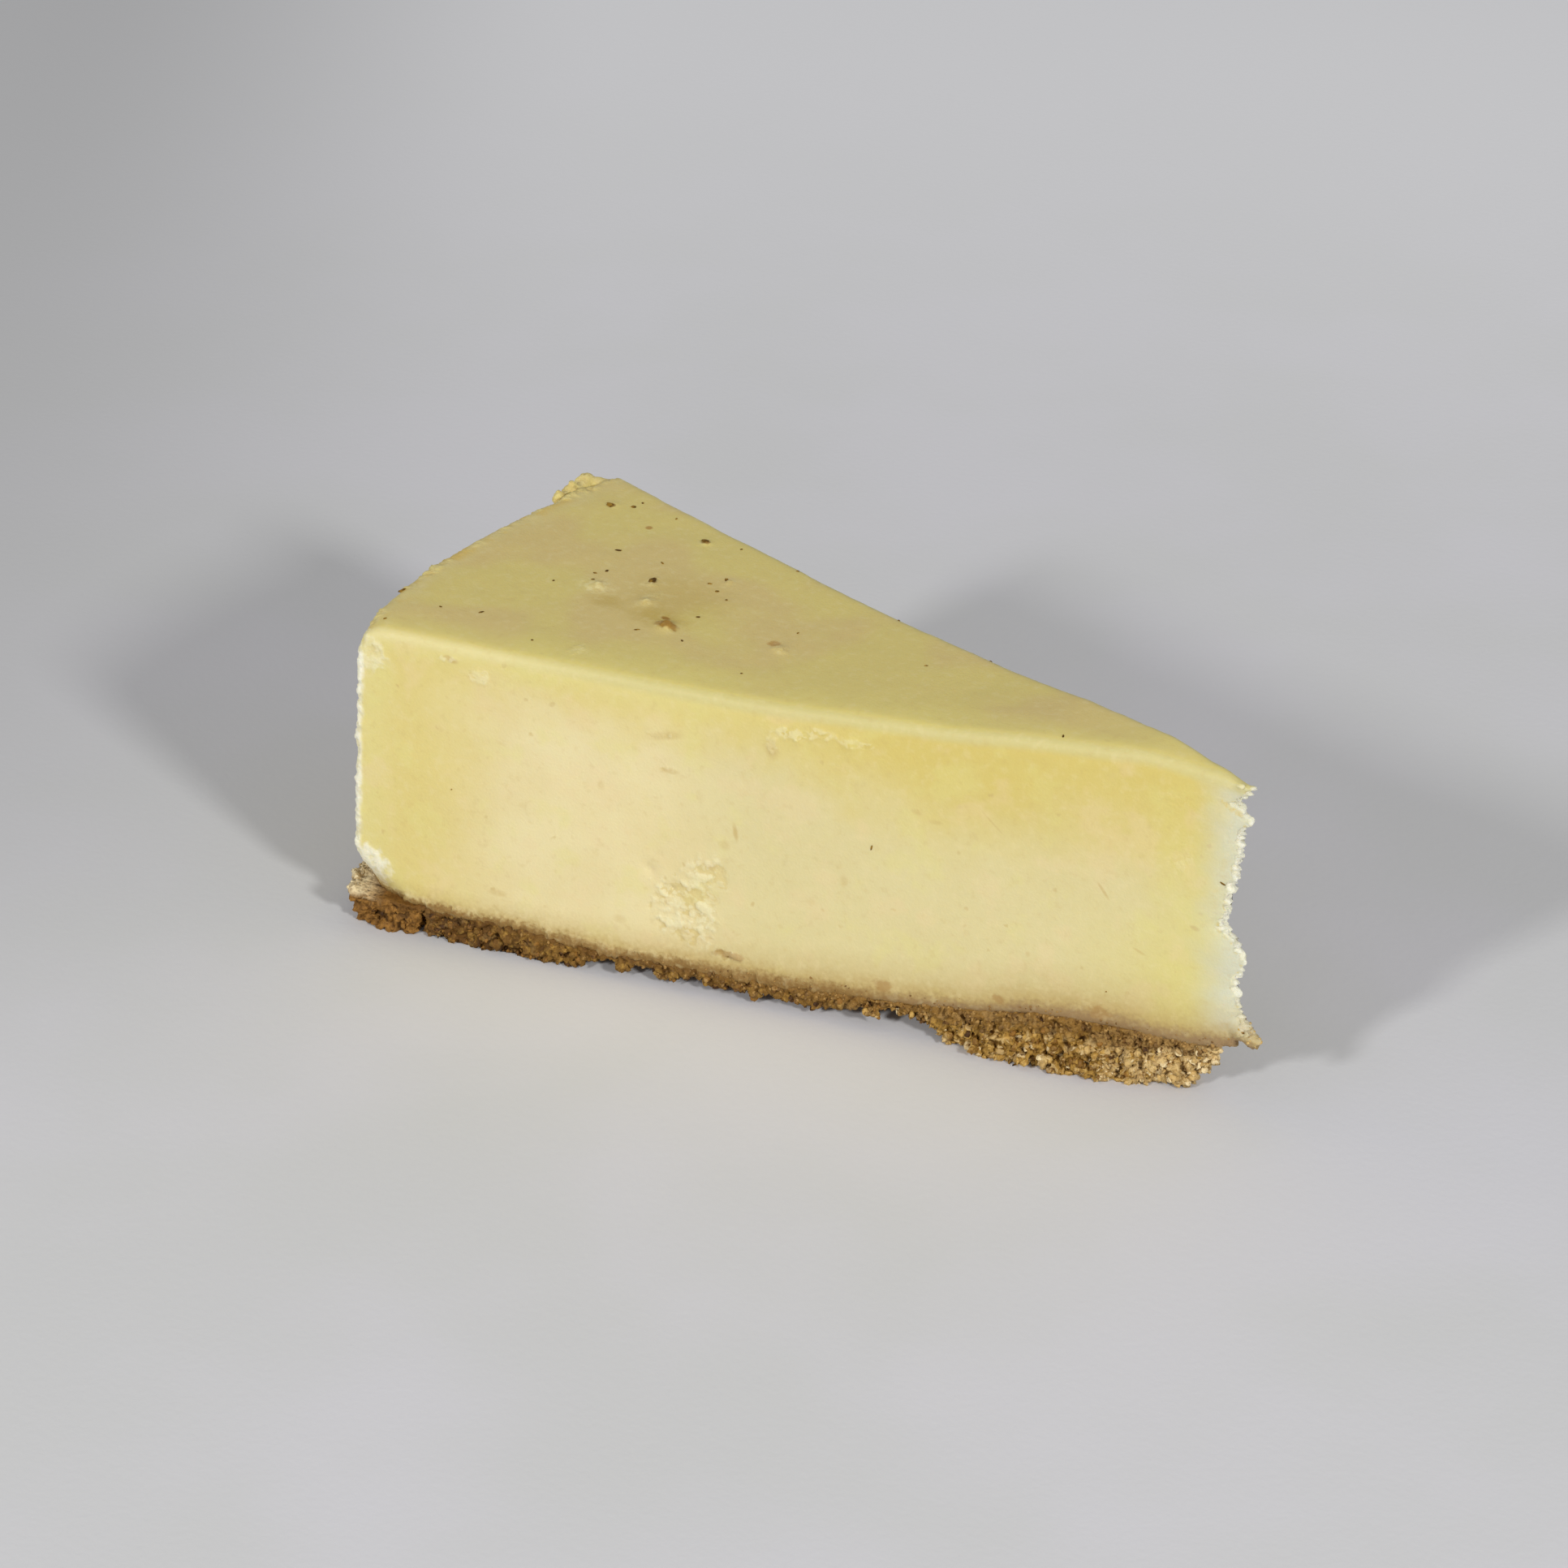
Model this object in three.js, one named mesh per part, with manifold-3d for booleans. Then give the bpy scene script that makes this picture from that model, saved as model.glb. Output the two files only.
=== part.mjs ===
// A slice of New York cheesecake: a baked cream-cheese filling on a pressed crumb crust.
// Millimetres, +Z up. The crust rests on z = 0, the thin end of the slice points to +X and
// the rim of the cake to -X. The near cut face looks to -Y and the far one to +Y.
import * as THREE from "three";
import { mergeVertices } from "three/addons/utils/BufferGeometryUtils.js";
import Module from "manifold-3d";

const wasm = await Module();
wasm.setup();

// Driving dimensions
const CAKE_RADIUS = 127; // a ten-inch tin
const WEDGE_ANGLE = (27.3 * Math.PI) / 180; // about a thirteenth of the cake, cut by eye
const CUT_ANGLE = WEDGE_ANGLE / 2; // each cut face is this far from the middle of the slice
const TIP_X = 65.06; // where both cuts would meet, with the box of the slice centred on x = 0
const TIP_Y = -0.22; // and on y = 0
const LAYER_GAP = 0.3; // between the filling and the crust
const TIP_HALF_WIDTH = 0.45; // the thin end is blunt
const TIP_FADE = 9; // its extra width is gone this far from the tip
const TIP_FACET = [2.6, 0.45]; // the near cut turns in towards the broken end: length, depth
const RIM_FLARE = 2.1; // the filling's rim is wider at its foot than below its shoulder
const FLARE_HEIGHTS = [12, 42]; // and narrows between these heights
const SHOULDER_DOWN = 5.6; // height of the rounding at the rim's top edge
const SHOULDER_OUT = [0.5, 3.4]; // and its depth, at the far cut and at the near cut
const CUT_EDGE_ROUND = [0.5, 0.9]; // rounding of the long top edges, at the far and the near cut
const FOOT_CORNER = [8.7, 5.3, 6.9]; // size of the break at the filling's foot: inwards, sideways, up
const FOOT_DEPTH = [3.9, 1.8]; // and its depth: inwards, sideways
const CRUST_OVERHANG = [5.5, 3.3]; // the crust's rim past the cake's radius: behind, near cut
const CRUST_TIP = [6.8, 3.4]; // the crust starts this far from the tip: at the floor, at its top
const CAVITY_SIDES = [-0.25, 0.35]; // the crumbled underside deepens between these sides
const WAVES = { cuts: 0.15, rim: 0.35, tip: 0.3, crumbs: 0.5, crustTip: 0.7 }; // unevenness

// Heights of the top and of the crust, as [distance from the tip, height]
const TOP_HEIGHT = [
  [0, 47.2], [6, 48.5], [14, 49.5], [26, 48.9], [45, 47.5], [70, 46.8], [100, 47.3], [127, 47.9],
];
const CRUST_HEIGHT = [
  [0, 9], [7, 7.9], [21, 8.1], [28, 7.8], [38, 6], [52, 4.7], [70, 4], [92, 3.7], [106, 4.9], [132, 6],
];
// Where the crust's underside has crumbled away, as [distance from the tip, lift]
const UNDERSIDE_LIFT = [
  [3, 2.2], [6, 1.1], [11, 0], [39.5, 0], [42, 2.3], [49, 3.2], [60, 1.5], [74, 2.1], [90, 2.6], [98, 0],
];
// How far the crust stands out past the near cut, as [distance from the tip, outwards]
const FLOOR_OUT = [
  [3, -2], [8, -0.6], [12, 0.1], [16, 1.2], [25, 1.7], [31, 2.2], [36, 1.4], [39, 0.9], [42, 0],
  [94, 0], [100.5, 0.6], [106, 0.1], [116.5, 0], [118.4, -1.1], [119.8, -0.9], [121.4, 0], [131, -1.2],
];
const LIP_OUT = [[118.6, 0], [120.4, 1.1], [124, 0.9], [131, 0.2]];
// The outline of the broken thin end, as [height, distance lost from the tip]
const TIP_LOSS = [
  [9, 0.7], [11.5, -0.3], [14.5, 0.3], [16, 0.9], [18.1, 1.5], [19.7, 0.6], [21.5, 0.3], [23.4, 1.3],
  [25.9, 4], [27.2, 3], [30, 2.8], [33.9, 2.2], [37.7, 1.5], [39.2, 1.9], [42.3, 0.5], [43.9, 3],
  [45.4, 1.4], [47.2, 0.4],
];
// The ragged clump on the rim's top edge, as [distance from the tip, side, size]
const CLUMP = [
  [127.6, -0.57, 2.6], [127.9, -0.66, 3], [128.4, -0.75, 3.8], [129, -0.84, 4.2], [127.8, -0.92, 3],
];
const CLUMP_HEIGHT = 46.8;
// The tag that hangs from the foot of the thin end, as [distance from the tip, height, size]
const TAG = [[0.4, 11.3, 3], [-0.9, 10.7, 2.4], [-1.8, 10, 2.2]];
// Toasted specks on the top, as [distance from the tip, side, size]
const SPECKS = [
  [88.9, 0.25, 2.8], [101.1, -0.79, 1.1], [98.4, -0.2, 1.1], [119.2, -0.74, 1.2], [72.4, 0.1, 2],
  [90.2, -0.49, 1], [104, 0.02, 1.8], [95.5, 0.05, 1.9],
];
// Coarse crumbs in the crust: on the bulge, along the near and the far cut, and round the rim
const [BULGE_CRUMBS, NEAR_CRUMBS, FAR_CRUMBS, RIM_CRUMBS] = [38, 24, 15, 10];

// Sizes of the grid steps: from the thin end to the rim, from cut to cut, and upwards
const repeat = (size, count) => Array(count).fill(size);
const FILLING_LENGTHS = [...repeat(1.2, 4), 2, 3, 4, ...repeat(7, 14), 3.5, 2.2, 2.2, 1.3, 1.3];
const CRUST_LENGTHS = [
  1.2, 1.6, 2.2, ...repeat(3.2, 9), ...repeat(1.7, 5), ...repeat(3.7, 18), 2,
  ...repeat(1.2, 4), ...repeat(2.5, 3), 1.4,
];
const WIDTHS = [1.6, ...repeat(7.6, 6), 3, 1.5];
const CRUST_LAYERS = [1, 1.4, 1.4, 1];
const HEIGHT_STEP = 2.2; // the tallest step up the filling
const TOP_STEPS = [0.9, 0.3]; // two lines this far below the top hold the rounded edge

const smooth = (t) => t * t * (3 - 2 * t);
const clamp01 = (t) => Math.min(1, Math.max(0, t));
const mix = (a, b, t) => a + (b - a) * t;
const quarterRound = (t) => 1 - Math.sqrt(1 - t * t);
// Even spread without a pattern: item i's place between low and high
const spread = (i, low, high) => mix(low, high, (i * 0.618 + 0.3) % 1);

// Repeatable random numbers: the returned function gives one between low and high.
function randomSource(seed) {
  let state = seed;
  return (low = 0, high = 1) => {
    state = (state + 0x6d2b79f5) | 0;
    let t = Math.imul(state ^ (state >>> 15), 1 | state);
    t = (t + Math.imul(t ^ (t >>> 7), 61 | t)) ^ t;
    return mix(low, high, ((t ^ (t >>> 14)) >>> 0) / 4294967296);
  };
}

// The value at x of a soft curve through knots, flat outside them
function along(knots, x) {
  if (x <= knots[0][0]) return knots[0][1];
  for (let i = 1; i < knots.length; i++) {
    const [x0, y0] = knots[i - 1];
    const [x1, y1] = knots[i];
    if (x <= x1) return mix(y0, y1, smooth((x - x0) / (x1 - x0)));
  }
  return knots[knots.length - 1][1];
}

// Soft lumps between -1 and 1: repeatable values on a unit lattice, blended
function lumps(x, y, z) {
  const corner = (i, j, k) => {
    let h = Math.imul(i, 374761393) + Math.imul(j, 668265263) + Math.imul(k, 2147483647);
    h = Math.imul(h ^ (h >>> 13), 1274126177);
    return (((h ^ (h >>> 16)) >>> 0) / 4294967295) * 2 - 1;
  };
  const [i, j, k] = [Math.floor(x), Math.floor(y), Math.floor(z)];
  const [u, v, w] = [smooth(x - i), smooth(y - j), smooth(z - k)];
  const edge = (dj, dk) => mix(corner(i, j + dj, k + dk), corner(i + 1, j + dj, k + dk), u);
  return mix(mix(edge(0, 0), edge(1, 0), v), mix(edge(0, 1), edge(1, 1), v), w);
}

// The blunt end's extra half width, and the whole half width, at r from the tip
const bluntWidth = (r) => TIP_HALF_WIDTH * (1 - smooth(clamp01(r / TIP_FADE)));
const halfWidth = (r) => bluntWidth(r) + Math.max(r, 0) * Math.sin(CUT_ANGLE);

// A point of the slice: r from the tip, side from -1 on the far cut to 1 on the near cut,
// z up, and outwards past the cut faces
function place(r, side, z, outwards = 0) {
  const angle = side * CUT_ANGLE;
  const x = -r * Math.cos(angle) + outwards * Math.abs(side) * Math.sin(CUT_ANGLE);
  const y = -Math.max(r, 0) * Math.sin(angle) - side * (bluntWidth(r) + outwards * Math.cos(CUT_ANGLE));
  return new THREE.Vector3(TIP_X + x, TIP_Y + y, z);
}

// Grid lines from 0 to 1 whose steps have the sizes listed
function linesBySize(sizes) {
  const total = sizes.reduce((sum, size) => sum + size, 0);
  let sum = 0;
  return [0, ...sizes.map((size) => (sum += size) / total)];
}

// Grid lines from 0 to 1 at the heights listed, with more where they are far apart
function linesByHeight(heights, step) {
  const sizes = [];
  for (let i = 1; i < heights.length; i++) {
    const rise = heights[i] - heights[i - 1];
    const count = Math.ceil(rise / step);
    sizes.push(...repeat(rise / count, count));
  }
  return linesBySize(sizes);
}

// A closed block of cells, bent by at(u, v, w), with grid lines us, vs and ws from 0 to 1
function bentBlock(us, vs, ws, at) {
  const points = [];
  const quad = (...corners) => {
    const [a, b, c, d] = corners.map((corner) => at(...corner).toArray());
    points.push(...a, ...b, ...c, ...a, ...c, ...d);
  };
  const sheet = (as, bs, corner, flip) => {
    for (let i = 0; i + 1 < as.length; i++)
      for (let j = 0; j + 1 < bs.length; j++) {
        const [p, q] = [corner(as[i], bs[j]), corner(as[i + 1], bs[j])];
        const [r, s] = [corner(as[i + 1], bs[j + 1]), corner(as[i], bs[j + 1])];
        flip ? quad(p, s, r, q) : quad(p, q, r, s);
      }
  };
  sheet(us, vs, (u, v) => [u, v, 1], false);
  sheet(us, vs, (u, v) => [u, v, 0], true);
  sheet(us, ws, (u, w) => [u, 0, w], false);
  sheet(us, ws, (u, w) => [u, 1, w], true);
  sheet(vs, ws, (v, w) => [0, v, w], true);
  sheet(vs, ws, (v, w) => [1, v, w], false);
  const geometry = new THREE.BufferGeometry();
  geometry.setAttribute("position", new THREE.Float32BufferAttribute(points, 3));
  return geometry;
}

function toSolid(geometry) {
  const bare = geometry.index ? geometry.toNonIndexed() : geometry.clone();
  bare.deleteAttribute("normal");
  bare.deleteAttribute("uv");
  const merged = mergeVertices(bare, 1e-4);
  const solid = new wasm.Manifold(new wasm.Mesh({
    numProp: 3,
    vertProperties: new Float32Array(merged.attributes.position.array),
    triVerts: new Uint32Array(merged.index.array),
  }));
  if (solid.volume() < 0) throw new Error("a piece is inside out");
  return solid;
}

function toGeometry(solid) {
  const mesh = solid.getMesh();
  const geometry = new THREE.BufferGeometry();
  geometry.setAttribute("position", new THREE.BufferAttribute(new Float32Array(mesh.vertProperties), 3));
  geometry.setIndex(new THREE.BufferAttribute(new Uint32Array(mesh.triVerts), 1));
  geometry.computeVertexNormals();
  return geometry;
}

// One crumb: a rough twenty-sided lump, long or flat by chance and turned by chance
function crumb(centre, size, random) {
  const geometry = new THREE.IcosahedronGeometry(size / 2, 0);
  geometry.scale(random(0.75, 1.3), random(0.75, 1.2), random(0.6, 1));
  const turn = new THREE.Euler(random(0, Math.PI), random(0, Math.PI), random(0, Math.PI));
  geometry.applyMatrix4(new THREE.Matrix4().makeRotationFromEuler(turn));
  geometry.translate(centre.x, centre.y, centre.z);
  return toSolid(geometry);
}

const addAll = (base, pieces) => pieces.reduce((whole, piece) => whole.add(piece), base);
const cutAll = (base, pieces) => pieces.reduce((whole, piece) => whole.subtract(piece), base);
// The largest body of a solid, without the loose scraps that cutting leaves
const mainBody = (solid) => solid.decompose().sort((a, b) => b.volume() - a.volume())[0];

const topHeight = (r) => along(TOP_HEIGHT, r);
const crustHeight = (r) => along(CRUST_HEIGHT, r) + 0.25 * lumps(r / 7, 3.5, 0.5);
// 1 at the near cut, and 0 over most of the rim
const nearCorner = (side) => smooth(clamp01((side - 0.72) / 0.28));

// How far out the filling's rim stands at a height, with its rounded shoulder
function rimRadius(side, z) {
  const [flareFoot, flareTop] = FLARE_HEIGHTS;
  const flare = RIM_FLARE * clamp01((flareTop - z) / (flareTop - flareFoot));
  const shoulder = clamp01((z - topHeight(CAKE_RADIUS) + SHOULDER_DOWN) / SHOULDER_DOWN);
  return CAKE_RADIUS + flare - mix(...SHOULDER_OUT, nearCorner(side)) * quarterRound(shoulder);
}

// How much of the filling's foot has broken off at a point, from 0 to 1
function brokenFoot(side, r, z) {
  const [inwards, sideways, up] = FOOT_CORNER;
  const fromCut = (1 - side) * CUT_ANGLE * r;
  return clamp01(1 - (rimRadius(side, z) - r) / inwards - fromCut / sideways - (z - crustHeight(r)) / up);
}

// The filling without its crumbs: smooth top and cut faces, and a broken thin end
function fillingBase() {
  const breaks = TIP_LOSS.map(([height]) => height);
  const tipTop = breaks.pop();
  const heights = [...breaks, ...TOP_STEPS.map((step) => tipTop - step), tipTop];
  const ws = linesByHeight(heights, HEIGHT_STEP);
  return bentBlock(linesBySize(FILLING_LENGTHS), linesBySize(WIDTHS), ws, (u, v, w) => {
    const side = 2 * v - 1;
    const near = side > 0 ? 1 : 0;
    const height = mix(crustHeight(u * CAKE_RADIUS), topHeight(u * CAKE_RADIUS), w);
    const loss = along(TIP_LOSS, height) + WAVES.tip * lumps(side * 2, height / 1.7, 4.5);
    const r = mix(loss, rimRadius(side, height), u);
    const z = mix(crustHeight(r), topHeight(r), w);
    // the knife's soft edge, and the facet at the broken end
    const round = Math.min(CUT_EDGE_ROUND[near], 0.35 * halfWidth(r));
    let outwards = -round * quarterRound(clamp01(1 - (topHeight(r) - z) / round));
    outwards -= near * TIP_FACET[1] * smooth(clamp01(1 - (r - loss) / TIP_FACET[0]));
    outwards += WAVES.cuts * lumps(r / 16, z / 11, side * 3) * clamp01(r / 10);
    const broken = brokenFoot(side, r, z);
    const rough = u === 1 && w > 0 && w < 1 ? WAVES.rim * lumps(side * 13, z / 1.6, 8.5) : 0;
    return place(r + rough - broken * FOOT_DEPTH[0], side, z, outwards - near * broken * FOOT_DEPTH[1]);
  });
}

// The filling: crumbs are joined to the base, and nicks are bitten out of it
function makeFilling() {
  const random = randomSource(11);
  const added = [];
  const bitten = [];
  const lump = (list, r, side, z, size, outwards = 0) =>
    list.push(crumb(place(r, side, z, outwards), size, random));
  // the upright edge between the rim and the near cut is crumbly, with a notch near its top
  for (let z = 14; z < 43; z += random(2, 4.6)) {
    lump(added, rimRadius(1, z) - random(0.4, 1), 1, z, random(1.2, 2.3), -0.35);
    lump(bitten, rimRadius(1, z) + 0.35, 1, z + 1.7, random(0.9, 1.5));
  }
  lump(bitten, CAKE_RADIUS + 0.3, 1, 43.4, 1.8);
  for (const [r, side, size] of CLUMP) lump(added, r, side, CLUMP_HEIGHT, size);
  // small crumbs and nicks along the rest of the rim's top edge
  for (let side = -0.5; side < 0.95; side += random(0.15, 0.3)) {
    const edge = rimRadius(side, 47);
    lump(added, edge - 0.3, side, 46.7, random(1.3, 2.2));
    lump(bitten, edge + 0.4, side + 0.09, 47.2, random(1.2, 2));
  }
  // a torn patch low on the near cut, and a smaller one under the top edge
  for (let i = 0; i < 9; i++) {
    const [r, z] = [random(73.5, 82.5), mix(10.5, 21.5, i / 8)];
    lump(added, r, 1, z, random(1.6, 2.6), -0.45);
    if (i % 2) lump(bitten, r + 2.4, 1, z + 0.9, random(1.4, 2.4));
  }
  for (let r = 55; r < 64; r += random(2, 3.4)) lump(added, r, 1, random(42.2, 43.6), random(1.3, 2), -0.3);
  // a crumb's hole above the crust, and a pit in the middle of the cut
  lump(bitten, 72.2, 1, 6.4, 1.6);
  lump(bitten, 51.7, 1, 28.3, 0.9);
  for (const [r, z, size] of TAG) lump(added, r, 0, z, size);
  for (const [r, side, size] of SPECKS) lump(added, r, side, topHeight(r) + 0.05 * size, size);
  return mainBody(cutAll(addAll(toSolid(fillingBase()), added), bitten));
}

// How far the crust stands out past the near cut, from its floor at w = 0 to its top at w = 1
const crustOut = (r, w) => mix(along(FLOOR_OUT, r), along(LIP_OUT, r), w * w);
const crustRim = (side) => CAKE_RADIUS + mix(...CRUST_OVERHANG, nearCorner(side));

// The crust without its coarse crumbs: a slab, hollow below its near half
function crustBase() {
  const [shallow, full] = CAVITY_SIDES;
  return bentBlock(linesBySize(CRUST_LENGTHS), linesBySize(WIDTHS), linesBySize(CRUST_LAYERS), (u, v, w) => {
    const side = 2 * v - 1;
    const tip = mix(...CRUST_TIP, smooth(clamp01(w * 1.4))) + WAVES.crustTip * lumps(side * 2, w * 3, 1.5);
    const undercut = 1.2 * (1 - w) * (1 - w);
    const rim = crustRim(side) - undercut + WAVES.crustTip * lumps(side * 9, w * 2, 6.5);
    const r = mix(tip, rim, u);
    const deep = smooth(clamp01((side - shallow) / (full - shallow)));
    const lift = along(UNDERSIDE_LIFT, r) * deep * (1 + 0.25 * lumps(r / 4, side * 5, 2.5));
    const z = mix(lift, crustHeight(r) - LAYER_GAP, w);
    const rough = w < 1 ? WAVES.crumbs * lumps(r / 2.3, w * 3.1, side * 4) : 0;
    return place(r, side, z, rough + crustOut(r, w) * (side > 0 ? 1 : 0.4));
  });
}

// The crack in from the near cut, by the rim: a crooked slot, wide at the floor
function crackSolid() {
  const outline = [[-1.3, -1], [0.9, -1], [0.6, 2.2], [0.7, 4.5], [0.2, 4.8], [-0.4, 2.4]];
  const slot = new THREE.Shape(outline.map(([x, y]) => new THREE.Vector2(x, y)));
  const crack = new THREE.ExtrudeGeometry(slot, { depth: 11, bevelEnabled: false });
  crack.rotateX(Math.PI / 2).translate(0, 8, 0).rotateZ(0.3);
  const mouth = place(119.4, 1, 0);
  return toSolid(crack.translate(mouth.x, mouth.y, 0));
}

// The crust: coarse crumbs joined to the slab, and a crack cut into it
function makeCrust() {
  const random = randomSource(23);
  const added = [];
  const lump = (r, side, z, size, outwards) => {
    const headroom = crustHeight(r) - 2 * LAYER_GAP - size * 0.62;
    const centre = place(r, side, Math.min(z, headroom), outwards);
    if (headroom > LAYER_GAP) added.push(crumb(centre, size, random));
  };
  for (let i = 0; i < BULGE_CRUMBS; i++) {
    const [r, z] = [mix(6.5, 41, (i + random()) / BULGE_CRUMBS), spread(i, 0.7, 6)];
    lump(r, 1, z, random(1.7, 3.1), crustOut(r, z / 8) - 0.2);
  }
  for (let i = 0; i < NEAR_CRUMBS; i++) {
    const r = mix(42, 128, (i + random()) / NEAR_CRUMBS);
    const z = along(UNDERSIDE_LIFT, r) + spread(i, 0.4, 3);
    lump(r, 1, z, random(1.5, 2.4), crustOut(r, z / 5) - 0.35);
  }
  for (let i = 0; i < FAR_CRUMBS; i++) {
    const r = mix(8, 128, (i + random()) / FAR_CRUMBS);
    lump(r, -1, spread(i, 0.8, 4), random(1.6, 2.7), -0.3);
  }
  for (let i = 0; i < RIM_CRUMBS; i++) {
    const side = mix(-0.95, 0.95, (i + random()) / RIM_CRUMBS);
    lump(crustRim(side) - 0.7, side, spread(i, 0.9, 4), random(1.8, 2.8), 0);
  }
  lump(crustRim(0.9) - 0.2, 0.86, 4.4, 2.4, 0);
  // nothing stands below the surface that the slice rests on
  const floor = toSolid(new THREE.BoxGeometry(400, 400, 20).translate(0, 0, -10));
  return mainBody(cutAll(addAll(toSolid(crustBase()), added), [crackSolid(), floor]));
}

function named(name, solid, color, roughness) {
  const material = new THREE.MeshStandardMaterial({ color, roughness, metalness: 0 });
  const mesh = new THREE.Mesh(toGeometry(solid), material);
  mesh.name = name;
  return mesh;
}

const slice = new THREE.Group();
slice.add(named("filling", makeFilling(), 0xefe3a6, 0.55));
slice.add(named("crust", makeCrust(), 0x96682f, 0.85));
export default slice;
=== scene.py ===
# %% [markdown]
# # A slice of baked cheesecake
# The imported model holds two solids: the custard filling, and the crumb crust under it. They have
# the true size and outline of the slice, down to its broken corners. This script gives them the
# skin, the crumbs and the colours of the real thing. The model is loaded first, because every
# piece that follows takes its place from it.

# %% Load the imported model
import math
import random

import bmesh
import bpy
from mathutils import Matrix, Vector


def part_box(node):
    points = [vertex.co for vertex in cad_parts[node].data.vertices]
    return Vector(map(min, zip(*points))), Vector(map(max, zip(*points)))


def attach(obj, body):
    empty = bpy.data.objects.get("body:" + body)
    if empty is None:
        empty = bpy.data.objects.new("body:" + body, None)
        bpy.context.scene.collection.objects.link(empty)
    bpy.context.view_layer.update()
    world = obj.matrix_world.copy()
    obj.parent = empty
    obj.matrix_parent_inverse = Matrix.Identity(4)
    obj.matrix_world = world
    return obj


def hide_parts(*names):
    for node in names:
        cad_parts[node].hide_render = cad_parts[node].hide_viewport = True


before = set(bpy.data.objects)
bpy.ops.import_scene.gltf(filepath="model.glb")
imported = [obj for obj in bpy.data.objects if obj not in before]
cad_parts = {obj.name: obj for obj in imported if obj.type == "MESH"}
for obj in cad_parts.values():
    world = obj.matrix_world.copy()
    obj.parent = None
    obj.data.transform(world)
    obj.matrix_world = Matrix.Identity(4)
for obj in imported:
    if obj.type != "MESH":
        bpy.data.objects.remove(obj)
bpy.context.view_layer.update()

MM = 0.001

# %% [markdown]
# The slice is a wedge of a round cake, so a place on it is easiest to give as a distance from the
# thin end, where both cuts would meet, and a height. The measures below are the cake's own, in
# millimetres. The top sags between a raised thin end and the rim, and the crust swells near the
# thin end: both are given as [distance from the tip, height], joined by soft steps.

# %% Measures of the cake
TIP = Vector((65.06, -0.22, 0))
CUT_ANGLE = math.radians(27.3 / 2)
CAKE_RADIUS = 127
RIM_FLARE = 2.1
FLARE_HEIGHTS = (12, 42)
TOP_HEIGHT = [(0, 47.2), (6, 48.5), (14, 49.5), (26, 48.9), (45, 47.5)]
TOP_HEIGHT += [(70, 46.8), (100, 47.3), (127, 47.9)]
CRUST_HEIGHT = [(0, 9), (7, 7.9), (21, 8.1), (28, 7.8), (38, 6)]
CRUST_HEIGHT += [(52, 4.7), (70, 4), (92, 3.7), (106, 4.9), (132, 6)]

for name in ("filling", "crust"):
    low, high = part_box(name)
    print(name, "reaches from", [round(c / MM, 1) for c in low], "to", [round(c / MM, 1) for c in high])

# %% [markdown]
# Both the shapes and the colours follow rules: crags here, a yellower band there. Such rules are
# node trees in Blender, and trees are easiest to read as sums. A Wire stands for one output
# socket, and arithmetic on it adds the Math node that does the sum. A Graph adds any other kind
# of node in one way: its settings first, then what its sockets get. Both serve shader trees and
# Geometry Nodes alike, so one rule can move the surface and colour it.

# %% Wires and graphs


def pick(sockets, name):
    """A socket by its place, its identifier or the name that it shows."""
    if isinstance(name, int):
        return sockets[name]
    exact = [s for s in sockets if s.identifier == name]
    return (exact or [s for s in sockets if s.name == name and s.enabled])[0]


class Graph:
    """A node tree in the making."""

    def __init__(self, tree):
        self.tree = tree

    def add(self, kind, settings=None, sockets=None, out=0):
        """Adds a node: its settings, then the values or links of its sockets. Returns one output."""
        node = self.tree.nodes.new(kind)
        for name, value in (settings or {}).items():
            setattr(node, name, value)
        for name, value in (sockets or {}).items():
            target = pick(node.inputs, name)
            if isinstance(value, Wire):
                self.tree.links.new(value.socket, target)
            elif target.type == "VECTOR" and isinstance(value, (int, float)):
                target.default_value = (value, value, value)
            else:
                target.default_value = value
        return Wire(pick(node.outputs, out)) if node.outputs else node

    def stored(self, name):
        """A number that a tree kept on the mesh, read by a material."""
        return self.add("ShaderNodeAttribute", {"attribute_name": name}, out="Fac")


def arithmetic(operation, swapped=False):
    """A method that adds the node of one operation. Swapped serves 1 - mask, where mask is second."""

    def method(self, other):
        return combine(operation, *((other, self) if swapped else (self, other)))

    return method


class Wire:
    """One output socket. Arithmetic on it adds a Math node, or a Vector Math node for vectors."""

    def __init__(self, socket):
        self.socket = socket
        self.graph = Graph(socket.id_data)

    def __getitem__(self, name):
        return Wire(pick(self.socket.node.outputs, name))

    def __neg__(self):
        return self * -1

    __add__ = __radd__ = arithmetic("ADD")
    __mul__ = __rmul__ = arithmetic("MULTIPLY")
    __sub__ = arithmetic("SUBTRACT")
    __rsub__ = arithmetic("SUBTRACT", swapped=True)
    __truediv__ = arithmetic("DIVIDE")
    __pow__ = arithmetic("POWER")
    most = arithmetic("MAXIMUM")
    least = arithmetic("MINIMUM")


def combine(operation, *values):
    """A Math node on numbers, or a Vector Math node once one of the values is a vector."""
    wires = [value for value in values if isinstance(value, Wire)]
    vector = any(wire.socket.type == "VECTOR" for wire in wires)
    kind = "ShaderNodeVectorMath" if vector else "ShaderNodeMath"
    return wires[0].graph.add(kind, {"operation": operation}, dict(enumerate(values)))


# %% [markdown]
# Six kinds of node do most of the work, so each gets a short name of its own: a soft step, a curve
# of such steps, a blend of two colours, soft noise, packed grains, and the parts of a vector.

# %% The nodes used most


def step(value, low, high, top=1.0):
    """0 at low and beyond, top at high and beyond, with a soft S between."""
    sockets = {"Value": value, "From Min": low, "From Max": high, "To Max": top}
    return value.graph.add("ShaderNodeMapRange", {"interpolation_type": "SMOOTHSTEP"}, sockets)


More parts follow.
